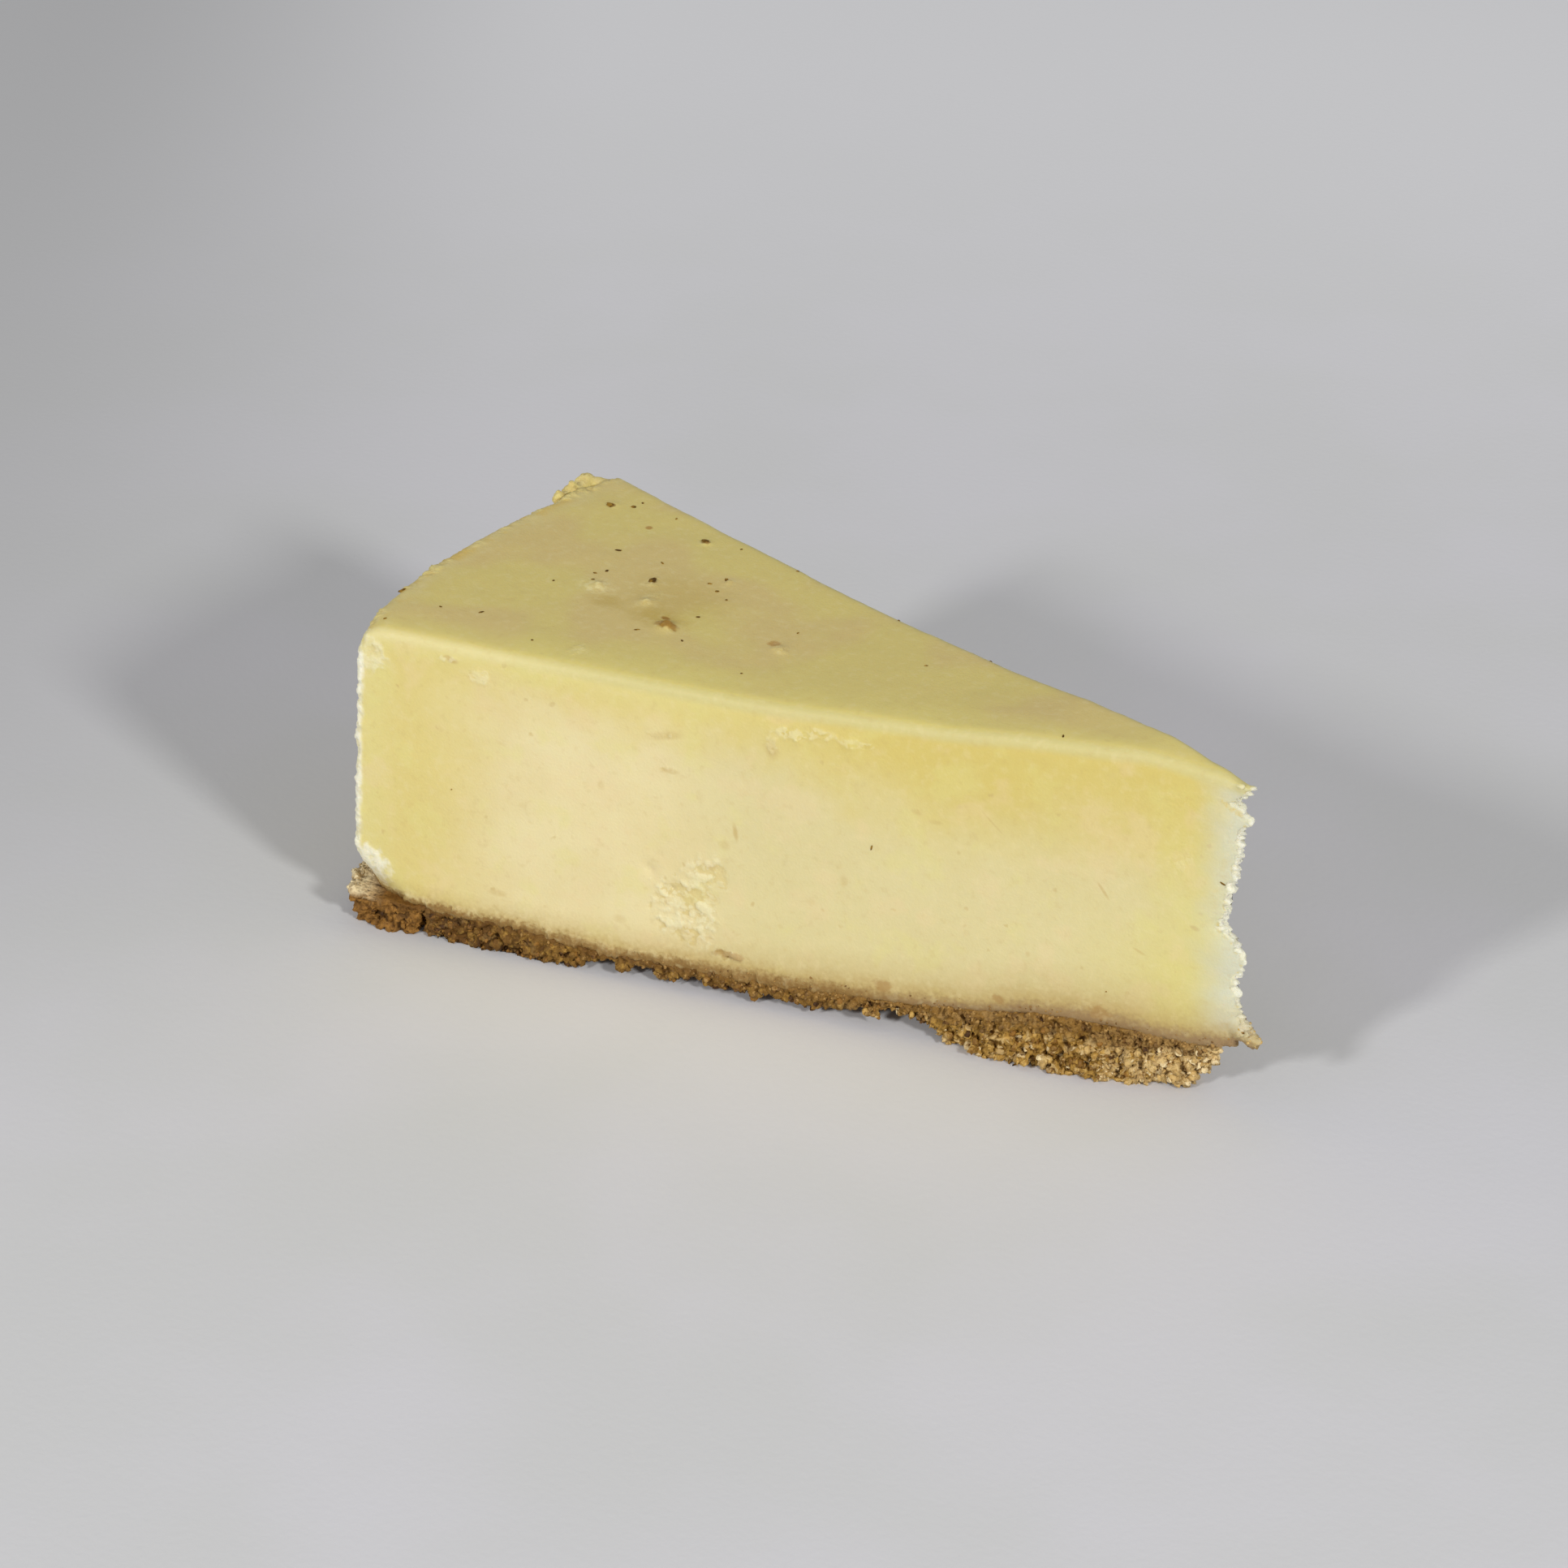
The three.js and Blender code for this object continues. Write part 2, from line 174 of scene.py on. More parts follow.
def follow(value, knots):
    """The soft curve through knots."""
    height = knots[0][1]
    for (x0, y0), (x1, y1) in zip(knots, knots[1:]):
        height = step(value, x0, x1, y1 - y0) + height
    return height


def blend(first, second, share):
    """Colour first, turned towards colour second by a share from 0 to 1."""
    sockets = {"Factor_Float": share, "A_Color": first, "B_Color": second}
    return share.graph.add("ShaderNodeMix", {"data_type": "RGBA"}, sockets, "Result_Color")


def lumps(place, size, detail=2.0, shift=0.0):
    """Soft noise from 0 to 1, in lumps of a size in mm."""
    sockets = {"Vector": place + shift, "Scale": 1 / size, "Detail": detail}
    return place.graph.add("ShaderNodeTexNoise", None, sockets)


def grains(place, size, out="Distance", shift=0.0):
    """Packed grains of a size in mm: the distance to a grain's middle, or its chance colour."""
    sockets = {"Vector": place + shift, "Scale": 1 / size}
    return place.graph.add("ShaderNodeTexVoronoi", None, sockets, out)


def parts(vector):
    """X, Y and Z of a vector, or red, green and blue of a colour."""
    split = vector.graph.add("ShaderNodeSeparateXYZ", None, {0: vector})
    return split, split["Y"], split["Z"]


# %% [markdown]
# A rule needs to know where on the slice a point is. Millimetres along the near cut, inwards from
# each cut, in from the rim, down from the top and up from the crust all come from the point's
# coordinates. They are worked out once for each tree, and kept under those names.

# %% Where a point is on the slice


class Spot:
    """A point's place on the slice, in millimetres, as wires of one graph."""

    def __init__(self, graph, position):
        self.graph = graph
        self.mm = position * 1000
        x, y, self.height = parts(self.mm)
        dx = x - TIP.x
        dy = y - TIP.y
        self.radius = (dx * dx + dy * dy) ** 0.5
        self.along = -(dx * math.cos(CUT_ANGLE) + dy * math.sin(CUT_ANGLE))
        self.from_near = dy * math.cos(CUT_ANGLE) - dx * math.sin(CUT_ANGLE)
        self.from_far = -(dy * math.cos(CUT_ANGLE) + dx * math.sin(CUT_ANGLE))
        self.dx = dx
        self.dy = dy
        flare = ((FLARE_HEIGHTS[1] - self.height) / (FLARE_HEIGHTS[1] - FLARE_HEIGHTS[0])).most(0).least(1)
        self.from_rim = flare * RIM_FLARE + CAKE_RADIUS - self.radius
        self.below_top = follow(self.radius, TOP_HEIGHT) - self.height
        self.above_crust = self.height - follow(self.radius, CRUST_HEIGHT)

    def patch(self, along, height, half_length, half_height, edge=0.3, ragged=0.0, turn=0.0):
        """1 inside an oval mark on the near cut, fading over its edge; ragged roughens the edge."""
        across = (self.along - along) * math.cos(turn) + (self.height - height) * math.sin(turn)
        upwards = (self.height - height) * math.cos(turn) - (self.along - along) * math.sin(turn)
        return self.fade(across / half_length, upwards / half_height, edge, ragged)

    def top_patch(self, radius, degrees, half_out, half_across, edge=0.3, ragged=0.0):
        """1 inside an oval mark on the top: half_out along the radius, half_across over it."""
        turn = math.radians(degrees)
        outwards = -(self.dx * math.cos(turn) + self.dy * math.sin(turn)) - radius
        across = self.dx * math.sin(turn) - self.dy * math.cos(turn)
        return self.fade(outwards / half_out, across / half_across, edge, ragged)

    def fade(self, u, v, edge, ragged):
        reach = (u * u + v * v) ** 0.5
        if ragged:
            reach = reach + (lumps(self.mm, 1.3, 3) - 0.5) * ragged
        return step(reach, 1 + edge, 1 - edge)


def surface_spot(graph):
    """The spot that a material is colouring."""
    return Spot(graph, graph.add("ShaderNodeTexCoord", out="Object"))


def net_spot(graph):
    """The spot of the vertex that a Geometry Nodes tree is moving."""
    return Spot(graph, graph.add("GeometryNodeInputPosition"))


# %% [markdown]
# Where custard tears instead of being cut, it shows crags: down the upright edge at the rim, at the
# foot of that edge, at the thin end, along the line where it meets the crust, and in patches on the
# near cut where the knife dragged. The patches are placed by measure. One mask says how rough a
# point is and another how white, because the broken edges turned white and the patches hardly did.
# The shape reads them, and stores them on the mesh, so that the colours can read them too.

# %% Where the custard is torn
TORN_PATCHES = [  # along, height, half length, half height, how rough, how white
    (78.6, 12.6, 4.6, 5.4, 0.34, 0.06), (75.6, 19.2, 3.4, 2.6, 0.28, 0.04), (63.4, 43.2, 2.8, 1.0, 0.26, 0.0),
    (59.0, 43.9, 2.4, 0.8, 0.24, 0.0), (54.6, 43.3, 2.6, 0.7, 0.22, 0.0), (65.9, 40.9, 1.0, 1.5, 0.2, 0.0),
    (9.4, 35.2, 1.4, 1.9, 0.16, 0.0), (125.2, 43.9, 2.6, 2.8, 0.26, 0.25), (108.6, 43.2, 2.2, 1.1, 0.24, 0.0),
    (127.6, 10.0, 4.2, 3.3, 0.28, 0.9), (113.4, 45.2, 1.3, 0.6, 0.3, 0.0), (81.8, 39.4, 2.2, 0.5, 0.2, 0.0),
    (80.8, 34.4, 1.2, 0.4, 0.2, 0.0), (10.5, 43.6, 2.2, 1.2, 0.14, 0.0), (72.6, 6.9, 1.9, 0.8, 0.5, 0.0),
]
TORN_TOP = [  # from the tip, degrees, half out, half across, how rough
    (88.9, 3.4, 2.0, 0.9, 0.26), (103.9, 0.6, 2.6, 1.9, 0.1), (95.5, 0.2, 1.3, 2.8, 0.1),
    (98.4, -2.7, 1.2, 1.2, 0.18), (101.2, -10.8, 1.0, 0.9, 0.18), (119.2, -10.1, 1.0, 0.9, 0.18),
    (90.2, -6.7, 0.9, 0.8, 0.18), (72.4, 1.4, 1.2, 1.2, 0.18), (96.3, 10.9, 1.0, 1.6, 0.18),
]


def torn(spot, normal):
    """How rough the custard is at a point, and how white, both from 0 to 1."""
    near_face = step(spot.from_near, 3.4, 2.0)
    top_face = step(spot.below_top, 2.0, 1.0)
    towards_tip = parts(normal)[0]
    rough = step(spot.radius, 15, 11) * step(towards_tip, 0.3, 0.55)
    white = step(spot.radius, 15, 11) * step(towards_tip, 0.42, 0.75)
    for along, height, half_length, half_height, roughness, whiteness in TORN_PATCHES:
        mark = spot.patch(along, height, half_length, half_height, 0.2, 1.8) * near_face
        rough = rough.most(mark * roughness)
        white = white.most(mark * whiteness)
    for radius, degrees, half_out, half_across, roughness in TORN_TOP:
        mark = spot.top_patch(radius, degrees, half_out, half_across, 0.2, 1.4)
        rough = rough.most(mark * top_face * roughness)
    wander = (lumps(spot.mm, 3.1, 2, 7) - 0.5) * 1.6
    rim = step(spot.from_rim + spot.from_near.most(0) * 0.5 + wander * 0.5, 1.4, 0.6)
    stretch = step(lumps(spot.mm, 6, 2, 43), 0.4, 0.6, 0.8) + 0.2
    shoulder = step(spot.below_top + wander, 3.6, 1.8)
    rim_top = step(spot.from_rim + wander * 1.6, 2.9, 1.2) * shoulder * stretch
    crust_line = step(spot.above_crust + wander * 0.6, 1.6, 0.7) * step(spot.radius, 50, 64)
    rough = rough.most(rim * 0.42).most(rim_top * 0.5).most(crust_line * near_face * 0.5)
    white = white.most(rim * step(spot.below_top, 2.5, 4.5)).most(crust_line * near_face * 0.3)
    return rough, white


print("torn patches:", len(TORN_PATCHES), "on the cut,", len(TORN_TOP), "on the top")

# %% [markdown]
# The custard's skin is made from a copy of its solid. The solid's faces are some millimetres
# wide, so the copy is first rebuilt from small voxels, which gives an even net of vertices that
# can be moved. A Geometry Nodes tree then does three things by rule: it blurs the positions, which
# melts the flat faces into one soft surface but leaves the torn places sharp; it pushes the
# vertices in and out, as crags where the custard is torn and as a faint wobble elsewhere; and it
# lets the underside sink onto the crust, so that no gap shows. A Decimate modifier ends the stack.
# It thins out the smooth places, and leaves the net fine where the weights that the tree wrote
# into the vertex group "fine" are high.

# %% Helpers for Geometry Nodes
FINE_PULL = 12  # how strongly the weights keep the net fine


def add_object(name, data):
    """A new object in the scene, at the origin."""
    thing = bpy.data.objects.new(name, data)
    bpy.context.scene.collection.objects.link(thing)
    return thing


def geometry_tree(name, sizes):
    """A tree with a geometry input, one input for each named size, and a geometry output."""
    tree = bpy.data.node_groups.new(name, "GeometryNodeTree")
    tree.interface.new_socket("Geometry", in_out="INPUT", socket_type="NodeSocketGeometry")
    tree.interface.new_socket("Geometry", in_out="OUTPUT", socket_type="NodeSocketGeometry")
    for label, value in sizes.items():
        kind = "NodeSocketInt" if isinstance(value, int) else "NodeSocketFloat"
        tree.interface.new_socket(label, in_out="INPUT", socket_type=kind)
    graph = Graph(tree)
    return graph, graph.add("NodeGroupInput")


def store(geometry, name, value, domain="POINT"):
    """Keeps a number on each point or crumb, where finishes and modifiers can read it."""
    return geometry.graph.add(
        "GeometryNodeStoreNamedAttribute",
        {"data_type": "FLOAT", "domain": domain},
        {"Geometry": geometry, "Name": name, "Value": value},
    )


def rest_on_table(geometry, position):
    """Moves the points to a position, and what would sink below the table up to it."""
    graph = geometry.graph
    x, y, z = parts(position)
    place = graph.add("ShaderNodeCombineXYZ", None, {"X": x, "Y": y, "Z": z.most(0.0)})
    return graph.add("GeometryNodeSetPosition", None, {"Geometry": geometry, "Position": place})


def close_tree(geometry, material):
    """The tree's end: instances made real, the material set, and the result handed out."""
    graph = geometry.graph
    real = graph.add("GeometryNodeRealizeInstances", None, {"Geometry": geometry})
    done = graph.add("GeometryNodeSetMaterial", None, {"Geometry": real, "Material": material})
    graph.add("NodeGroupOutput", None, {"Geometry": done})
    return graph.tree


def even_copy(node, voxel):
    """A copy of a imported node, merged into one skin and due to be rebuilt from voxels."""
    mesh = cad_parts[node].data.copy()
    merged = bmesh.new()
    merged.from_mesh(mesh)
    bmesh.ops.remove_doubles(merged, verts=merged.verts, dist=0.001 * MM)
    merged.to_mesh(mesh)
    merged.free()
    host = add_object(f"{node}_host", mesh)
    host.vertex_groups.new(name="fine")
    remesh = host.modifiers.new("even net", "REMESH")
    remesh.mode = "VOXEL"
    remesh.voxel_size = voxel
    return host


def run_tree(host, tree, sizes):
    """Puts a tree on a host as a modifier. Its inputs are set by their identifiers."""
    modifier = host.modifiers.new(tree.name, "NODES")
    modifier.node_group = tree
    for item in tree.interface.items_tree:
        if item.in_out == "INPUT" and item.name in sizes:
            modifier[item.identifier] = sizes[item.name]


def dress(name, host, tree, sizes, share):
    """Runs a tree on a host, thins the net to a share of its faces, and keeps a plain mesh."""
    run_tree(host, tree, sizes)
    thin = host.modifiers.new("thin out", "DECIMATE")
    thin.ratio = share
    thin.vertex_group = "fine"
    thin.invert_vertex_group = True
    thin.vertex_group_factor = FINE_PULL
    return keep(name, host)


def keep(name, host):
    """The host's evaluated mesh as a new plain object; the host loses its modifiers."""
    mesh = bpy.data.meshes.new_from_object(host.evaluated_get(bpy.context.evaluated_depsgraph_get()))
    host.modifiers.clear()
    mesh.name = name
    mesh.polygons.foreach_set("use_smooth", [True] * len(mesh.polygons))
    piece = add_object(name, mesh)
    triangles = sum(len(p.vertices) - 2 for p in mesh.polygons)
    print(f"{name}: {triangles} triangles")
    return piece


# %% [markdown]
# Each finish is a material of its own, named before its shape, because the trees set it. Colours
# are written as the red, green and blue that a screen shows, from 0 to 255, and turned into the
# linear numbers that Blender's sockets take.

# %% Materials by name


def paint(red, green, blue):
    """A screen colour as Blender's linear red, green, blue and alpha."""
    linear = [((c / 255 + 0.055) / 1.055) ** 2.4 for c in (red, green, blue)]
    return (*linear, 1.0)


def new_material(name):
    """A material with an empty tree but for its Principled shader, and the graph to fill it."""
    material = bpy.data.materials.new(name)
    material.use_nodes = True
    return material, Graph(material.node_tree), material.node_tree.nodes["Principled BSDF"]


def feed(shader, **values):
    """Gives the shader's sockets their values or links: Base_Color means Base Color."""
    for name, value in values.items():
        target = shader.inputs[name.replace("_", " ")]
        if isinstance(value, Wire):
            value.graph.tree.links.new(value.socket, target)
        else:
            target.default_value = value


def relief(height, depth):
    """A bump from a height of 0 to 1 that stands for a real depth in mm."""
    return height.graph.add("ShaderNodeBump", None, {"Height": height, "Distance": depth * MM})


# %% [markdown]
# The custard has three skins. The top was against the oven's heat, and is a matt khaki yellow. The
# cut faces are cream, deeper yellow in a band near the outside of the cake, where it set first,
# and stained brown by the crust in a fuzzy line along the foot. The torn edges are nearly white.
# A photo could be wrapped round the shape, but it would bring its own light and shadows along, so
# each colour is named here and laid on by rule. The small marks are placed by measure.

# %% Custard colours and marks
CREAM = paint(225, 209, 156)
PALE_CREAM = paint(229, 215, 164)
DULL_CREAM = paint(215, 203, 148)
BAND_YELLOW = paint(213, 193, 106)
BAND_PALE = paint(218, 200, 120)
LEMON = paint(219, 208, 126)
PALE_LEMON = paint(221, 209, 138)
GREENISH = paint(221, 213, 136)
PINKISH = paint(229, 206, 158)
TORN_WHITE = paint(240, 236, 212)
# Painted highlight for the tops of the torn crags.
PALE_RAG_HIGHLIGHT = paint(234, 226, 182)
RAG_GOLD = paint(222, 205, 132)
# Painted shade for the hollows of the torn places.
HOLLOW_SHADE = paint(210, 188, 116)
# The white of the broken thin end, greyed as painted shade.
TIP_WHITE_IN_SHADE = paint(207, 208, 187)
TOP_KHAKI = paint(214, 197, 119)
TOP_BEIGE = paint(211, 188, 124)
TOP_LEMON = paint(224, 209, 124)
# Painted shade along the rounded top edges, duller than the cut and the top.
EDGE_SHADE_CREAM = paint(204, 194, 134)
EDGE_SHADE_PALE = paint(219, 207, 148)
RIM_GOLD = paint(214, 180, 84)
SOAKED = paint(150, 121, 84)
SOAKED_GOLDEN = paint(138, 104, 52)
SOAKED_PALE = paint(184, 157, 95)
TOFFEE = paint(152, 110, 34)
SMEAR = paint(232, 219, 158)
TIN_GOLD = paint(205, 178, 98)
FAINT_TAN = paint(196, 168, 104)
POKING_BROWN = paint(168, 132, 76)
RIM_CREAM = paint(213, 197, 134)
HONEY_STAIN = paint(186, 159, 74)

# faint marks on the near cut: along, height, half length, half height, turn in degrees, strength
CUT_MARKS = [
    (81.5, 39.4, 2.2, 0.6, -12, 0.35), (80.8, 34.2, 1.2, 0.4, 0, 0.45), (71.3, 26.6, 0.3, 1.2, -8, 0.6),
    (72.9, 24.3, 0.7, 0.7, 0, 0.3), (55.7, 22.4, 0.5, 1.0, 0, 0.3), (19.6, 28.2, 0.2, 1.2, -35, 0.5),
    (14.4, 20.1, 0.9, 0.18, 25, 0.4), (7.0, 25.2, 0.6, 0.3, 20, 0.5), (107.0, 9.8, 1.1, 0.5, 0, 0.4),
    (88.6, 9.4, 0.9, 0.6, 0, 0.3), (90.9, 30.0, 0.5, 0.7, 0, 0.2), (45.6, 34.8, 0.7, 0.35, 20, 0.3),
    (43.0, 33.8, 0.8, 0.3, 0, 0.3), (66.0, 40.4, 0.9, 1.3, 0, 0.5), (29.6, 16.4, 0.3, 0.4, 0, 0.3),
    (112.8, 45.2, 1.0, 0.4, 15, 0.7), (35.0, 35.2, 1.6, 0.12, 45, 0.35), (74.8, 20.4, 0.5, 0.5, 0, 0.5),
]

# how far up the crust has soaked: distance from the tip, reach
SOAK_REACH = [(0, 2.2), (12, 3.2), (42, 2.6), (62, 2.3), (90, 1.8), (118, 1.2)]

# crumbs of the crust that stand up into the custard: along, height, half length, half height
CRUMBS_POKING_UP = [
    (50.0, 6.9, 1.3, 1.1), (19.3, 9.5, 1.5, 1.0), (33.5, 8.4, 0.9, 0.7), (72.4, 7.0, 2.0, 0.7),
]

# pale smears on the top: from the tip, degrees, half out, half across
SMEARS = [(103.8, 0.6, 2.6, 1.9), (95.4, 0.1, 1.3, 2.8), (98.8, -2.0, 0.8, 0.8), (95.8, 10.7, 1.0, 1.4)]

# honey-brown stains on the top: the same four, and how strong
STAINS = [(92.5, -1.5, 6.5, 5.5, 0.35), (100.2, 2.2, 2.4, 1.6, 0.5), (91.5, 2.4, 4.0, 2.2, 0.6)]

# crumbs of the top skin that toasted: the same four, and the colour
TOASTED = [
    (88.9, 3.4, 2.0, 0.8, TOFFEE), (90.4, 2.2, 0.7, 0.4, TOFFEE), (74.0, 0.6, 0.9, 0.9, paint(186, 146, 76)),
    (110.4, -9.5, 0.5, 0.5, paint(176, 136, 64)), (101.2, -10.8, 0.6, 0.5, paint(150, 112, 52)),
    (98.5, -2.7, 0.6, 0.5, paint(130, 92, 36)), (119.2, -10.0, 0.6, 0.5, paint(140, 100, 40)),
]
print("marks on the custard:", sum(map(len, (CUT_MARKS, CRUMBS_POKING_UP, SMEARS, STAINS, TOASTED))))

# %% [markdown]
# The cut is cream with a deeper yellow band, and the top is clouds of khaki and beige. Each is a
# rule that starts from one colour and turns it towards the next, by a mask that soft noise makes
# wander. A mask is a sum of steps, so a band's place and softness are two numbers each.

# %% Colours of the cut and the top


def cut_colour(spot):
    """Cream in the middle of the cut, yellower towards the outside of the cake."""
    wander = (lumps(spot.mm, 9, 2, 3) - 0.5) * 9 + (lumps(spot.mm, 2.5, 2, 5) - 0.5) * 2
    cloud = lumps(spot.mm, 12, 3, 11)
    base = blend(CREAM, PALE_CREAM, step(cloud, 0.35, 0.65))
    base = blend(base, DULL_CREAM, step(spot.radius + wander, 86, 66) * 0.75)
    deep_end = step(spot.radius, 80, 34)
    top_reach = deep_end * 8.5 + 6.5
    top_band = step((spot.below_top + wander * 1.3) / top_reach, 1.7, 0.2)
    rim_band = step(spot.from_rim + wander * 0.7, 26, 9) * 0.9
    inner = (1 - top_band) * (1 - rim_band)
    band = blend(BAND_YELLOW, BAND_PALE, step(spot.radius, 45, 75))
    colour = blend(base, band, (1 - inner) * 0.9)
    tip_band = step(spot.radius + wander, 17, 6)
    colour = blend(colour, LEMON, tip_band * (step(spot.below_top, 4, 16) * 0.4 + 0.15))
    outer = step(spot.from_rim.least(spot.below_top * 1.5) + wander * 0.4, 8, 2)
    colour = blend(colour, PALE_LEMON, outer * step(spot.radius, 55, 85) * 0.65)
    low_lemon = step(spot.radius + wander, 28, 9) * step(spot.height, 32, 18)
    colour = blend(colour, LEMON, low_lemon * 0.4)
    bent = spot.mm + (lumps(spot.mm, 1.2, 2, 64)["Color"] - 0.5) * 1.6
    few = step(parts(grains(bent, 3.2, "Color", 65))[0], 0.5, 0.7, 0.45)
    pores = step(grains(bent, 3.2, shift=65), 0.16, 0.05) * few
    colour = blend(colour, FAINT_TAN, pores)
    tint = lumps(spot.mm, 6, 3, 61)
    colour = blend(colour, GREENISH, step(tint, 0.54, 0.68) * 0.3)
    return blend(colour, PINKISH, step(tint, 0.46, 0.32) * 0.3)


def top_colour(spot):
    """Khaki and beige clouds, yellower by the near cut and the thin end, golden by the rim."""
    cloud = lumps(spot.mm, 17, 2, 23)
    colour = blend(TOP_KHAKI, TOP_BEIGE, step(cloud, 0.42, 0.6) * 0.8)
    wander = (lumps(spot.mm, 6, 3, 29) - 0.5) * 5
    near_edge = step(spot.from_near + wander, 8, 1)
    tip = step(spot.radius + wander, 34, 8)
    colour = blend(colour, TOP_LEMON, near_edge.most(tip) * 0.8)
    rim = step(spot.from_rim + wander, 5.5, 1.5)
    colour = blend(colour, RIM_CREAM, rim * 0.7)
    islands = step(lumps(spot.mm, 4.5, 3, 31), 0.5, 0.62)
    golden = step(spot.from_rim + wander * 0.6, 4.2, 1.2) * islands
    inwards = step(spot.from_far, 4, 13, 0.45) + 0.2
    colour = blend(colour, RIM_GOLD, golden * inwards)
    broken = step(lumps(spot.mm, 0.9, 3, 63), 0.42, 0.58, 0.55) + 0.1
    for mark in SMEARS:
        colour = blend(colour, SMEAR, spot.top_patch(*mark, 0.6, 1.3) * broken)
    for *place, strength in STAINS:
        colour = blend(colour, HONEY_STAIN, spot.top_patch(*place, 0.7, 0.9) * strength)
    return colour


# %% [markdown]
# On the cut and the top lie the torn places, which read what the shape stored on the mesh: white
# where the custard broke, with painted highlight on the crag tops and painted shade in the hollows.
# Along the foot the crust's butter has soaked up in a line that noise makes fuzzy. A little
# subsurface scattering then gives the soft, slightly see-through look of custard.

# %% Custard finish


def torn_colour(spot, colour, rent):
    """Where torn: painted highlight on the crag tops, painted shade in the hollows; white where it broke."""
    graph = spot.graph
    white = graph.stored("white")
    crag = graph.stored("crag")
    tatters = step(rent, 0.05, 0.4) * (1 - white)
    # Painted shade: the hollows of the torn places turn darker yellow.
    colour = blend(colour, HOLLOW_SHADE, tatters * step(crag, 0.42, 0.24) * 0.7)
    far_rim = step(spot.below_top, 5, 3) * step(spot.from_near, 1, 4)
    # Painted highlight: the crag tops turn paler, and golden by the far rim, which is the rim's own colour.
    rag_highlight = blend(PALE_RAG_HIGHLIGHT, RAG_GOLD, far_rim)
    colour = blend(colour, rag_highlight, tatters * step(crag, 0.5, 0.65) * 0.6)
    # White where the custard broke, and stronger on the crag tops as painted highlight.
    return blend(colour, TORN_WHITE, white * (step(crag, 0.2, 0.6) * 0.35 + 0.6))


def soaked_foot(spot, colour):
    """The crust's stain along the foot, and the crumbs that stand up into the custard."""
    reach = follow(spot.radius, SOAK_REACH)
    fuzz = (lumps(spot.mm, 0.6, 3, 13) - 0.5) * 2.2 + (lumps(spot.mm, 5, 2, 17) - 0.5) * 1.4
    closeness = (spot.above_crust + fuzz) / reach
    colour = blend(colour, SOAKED_PALE, step(closeness, 3.4, 1.0) * 0.36)
    colour = blend(colour, SOAKED_PALE, step(closeness, 1.7, 0.3) * 0.8)
    soaked = blend(SOAKED, SOAKED_GOLDEN, step(spot.radius, 38, 58))
    colour = blend(colour, soaked, step(closeness, 0.85, 0.0) * 0.92)
    near_face = step(spot.from_near, 3, 1.5)
    for mark in CRUMBS_POKING_UP:
        colour = blend(colour, POKING_BROWN, spot.patch(*mark, 0.3, 1.6) * near_face * 0.65)
    return colour


def custard_material():
    material, graph, shader = new_material("baked_custard")
    spot = surface_spot(graph)
    upwards = parts(graph.add("ShaderNodeNewGeometry", out="Normal"))[2]
    rent = graph.stored("torn")
    colour = cut_colour(spot)
    near_face = step(spot.from_near, 2, 1)
    for along, height, half_length, half_height, turn, strength in CUT_MARKS:
        mark = spot.patch(along, height, half_length, half_height, 0.6, 0.7, math.radians(turn))
        colour = blend(colour, FAINT_TAN, mark * near_face * strength)
    tip_wander = (lumps(spot.mm, 4, 3, 45) - 0.5) * 4
    # The thin end is white custard, greyed as painted shade.
    colour = blend(colour, TIP_WHITE_IN_SHADE, step(spot.radius + tip_wander, 9.0, 0.6) * 0.9)
    against_tin = step(spot.from_rim, 1.6, 0.4) * step(spot.from_near, 1, 4)
    tin_tone = step(lumps(spot.mm, 8, 3, 47), 0.35, 0.65, 0.35) + 0.25
    colour = blend(colour, TIN_GOLD, against_tin * tin_tone)
    skin = step(upwards, 0.45, 0.8) * step(spot.below_top, 3.5, 1.8)
    colour = blend(colour, top_colour(spot), skin)
    # Painted shade: the rounded top edges get a duller colour, to dim the light they catch.
    edge = step(spot.from_near.least(spot.from_far), 1.4, 0.4)
    edge = edge * step(spot.below_top, 2.2, 0.9)
    line = blend(EDGE_SHADE_CREAM, EDGE_SHADE_PALE, step(spot.radius, 84, 112))
    colour = blend(colour, line, edge * 0.8)
    colour = torn_colour(spot, colour, rent)
    facing_up = step(upwards, 0.1, 0.5)
    for *place, crumb in TOASTED:
        colour = blend(colour, crumb, spot.top_patch(*place, 0.35, 1.0) * facing_up * 0.9)
    colour = soaked_foot(spot, colour)
    mottle = lumps(spot.mm, 1.3, 3, 19)
    colour = blend(colour, PALE_CREAM, step(mottle, 0.5, 0.75) * 0.22)
    colour = blend(colour, FAINT_TAN, step(mottle, 0.45, 0.25) * 0.16)
    grain = lumps(spot.mm, 0.4, 3, 37) * (rent * 0.8 + 0.2)
    rough = rent * 0.2 + 0.55
    feed(shader, Base_Color=colour, Roughness=rough, Normal=relief(grain, 0.25))
    feed(shader, Specular_IOR_Level=0.3, Subsurface_Weight=0.25, Subsurface_Scale=0.0022)
    feed(shader, Subsurface_Radius=(1.0, 0.8, 0.5))
    return material


custard = custard_material()
print("custard nodes:", len(custard.node_tree.nodes))

# %% [markdown]
# Now the custard's own tree, which runs on the copy. The sizes of its crags, teeth and wobble are
# named inputs, so they can be tried out on the modifier before it is turned into a plain mesh.

# %% Custard shape
CUSTARD_VOXEL = 0.32 * MM
CUSTARD_SHARE = 0.39  # of the net's faces, which keeps the piece under 200,000 triangles


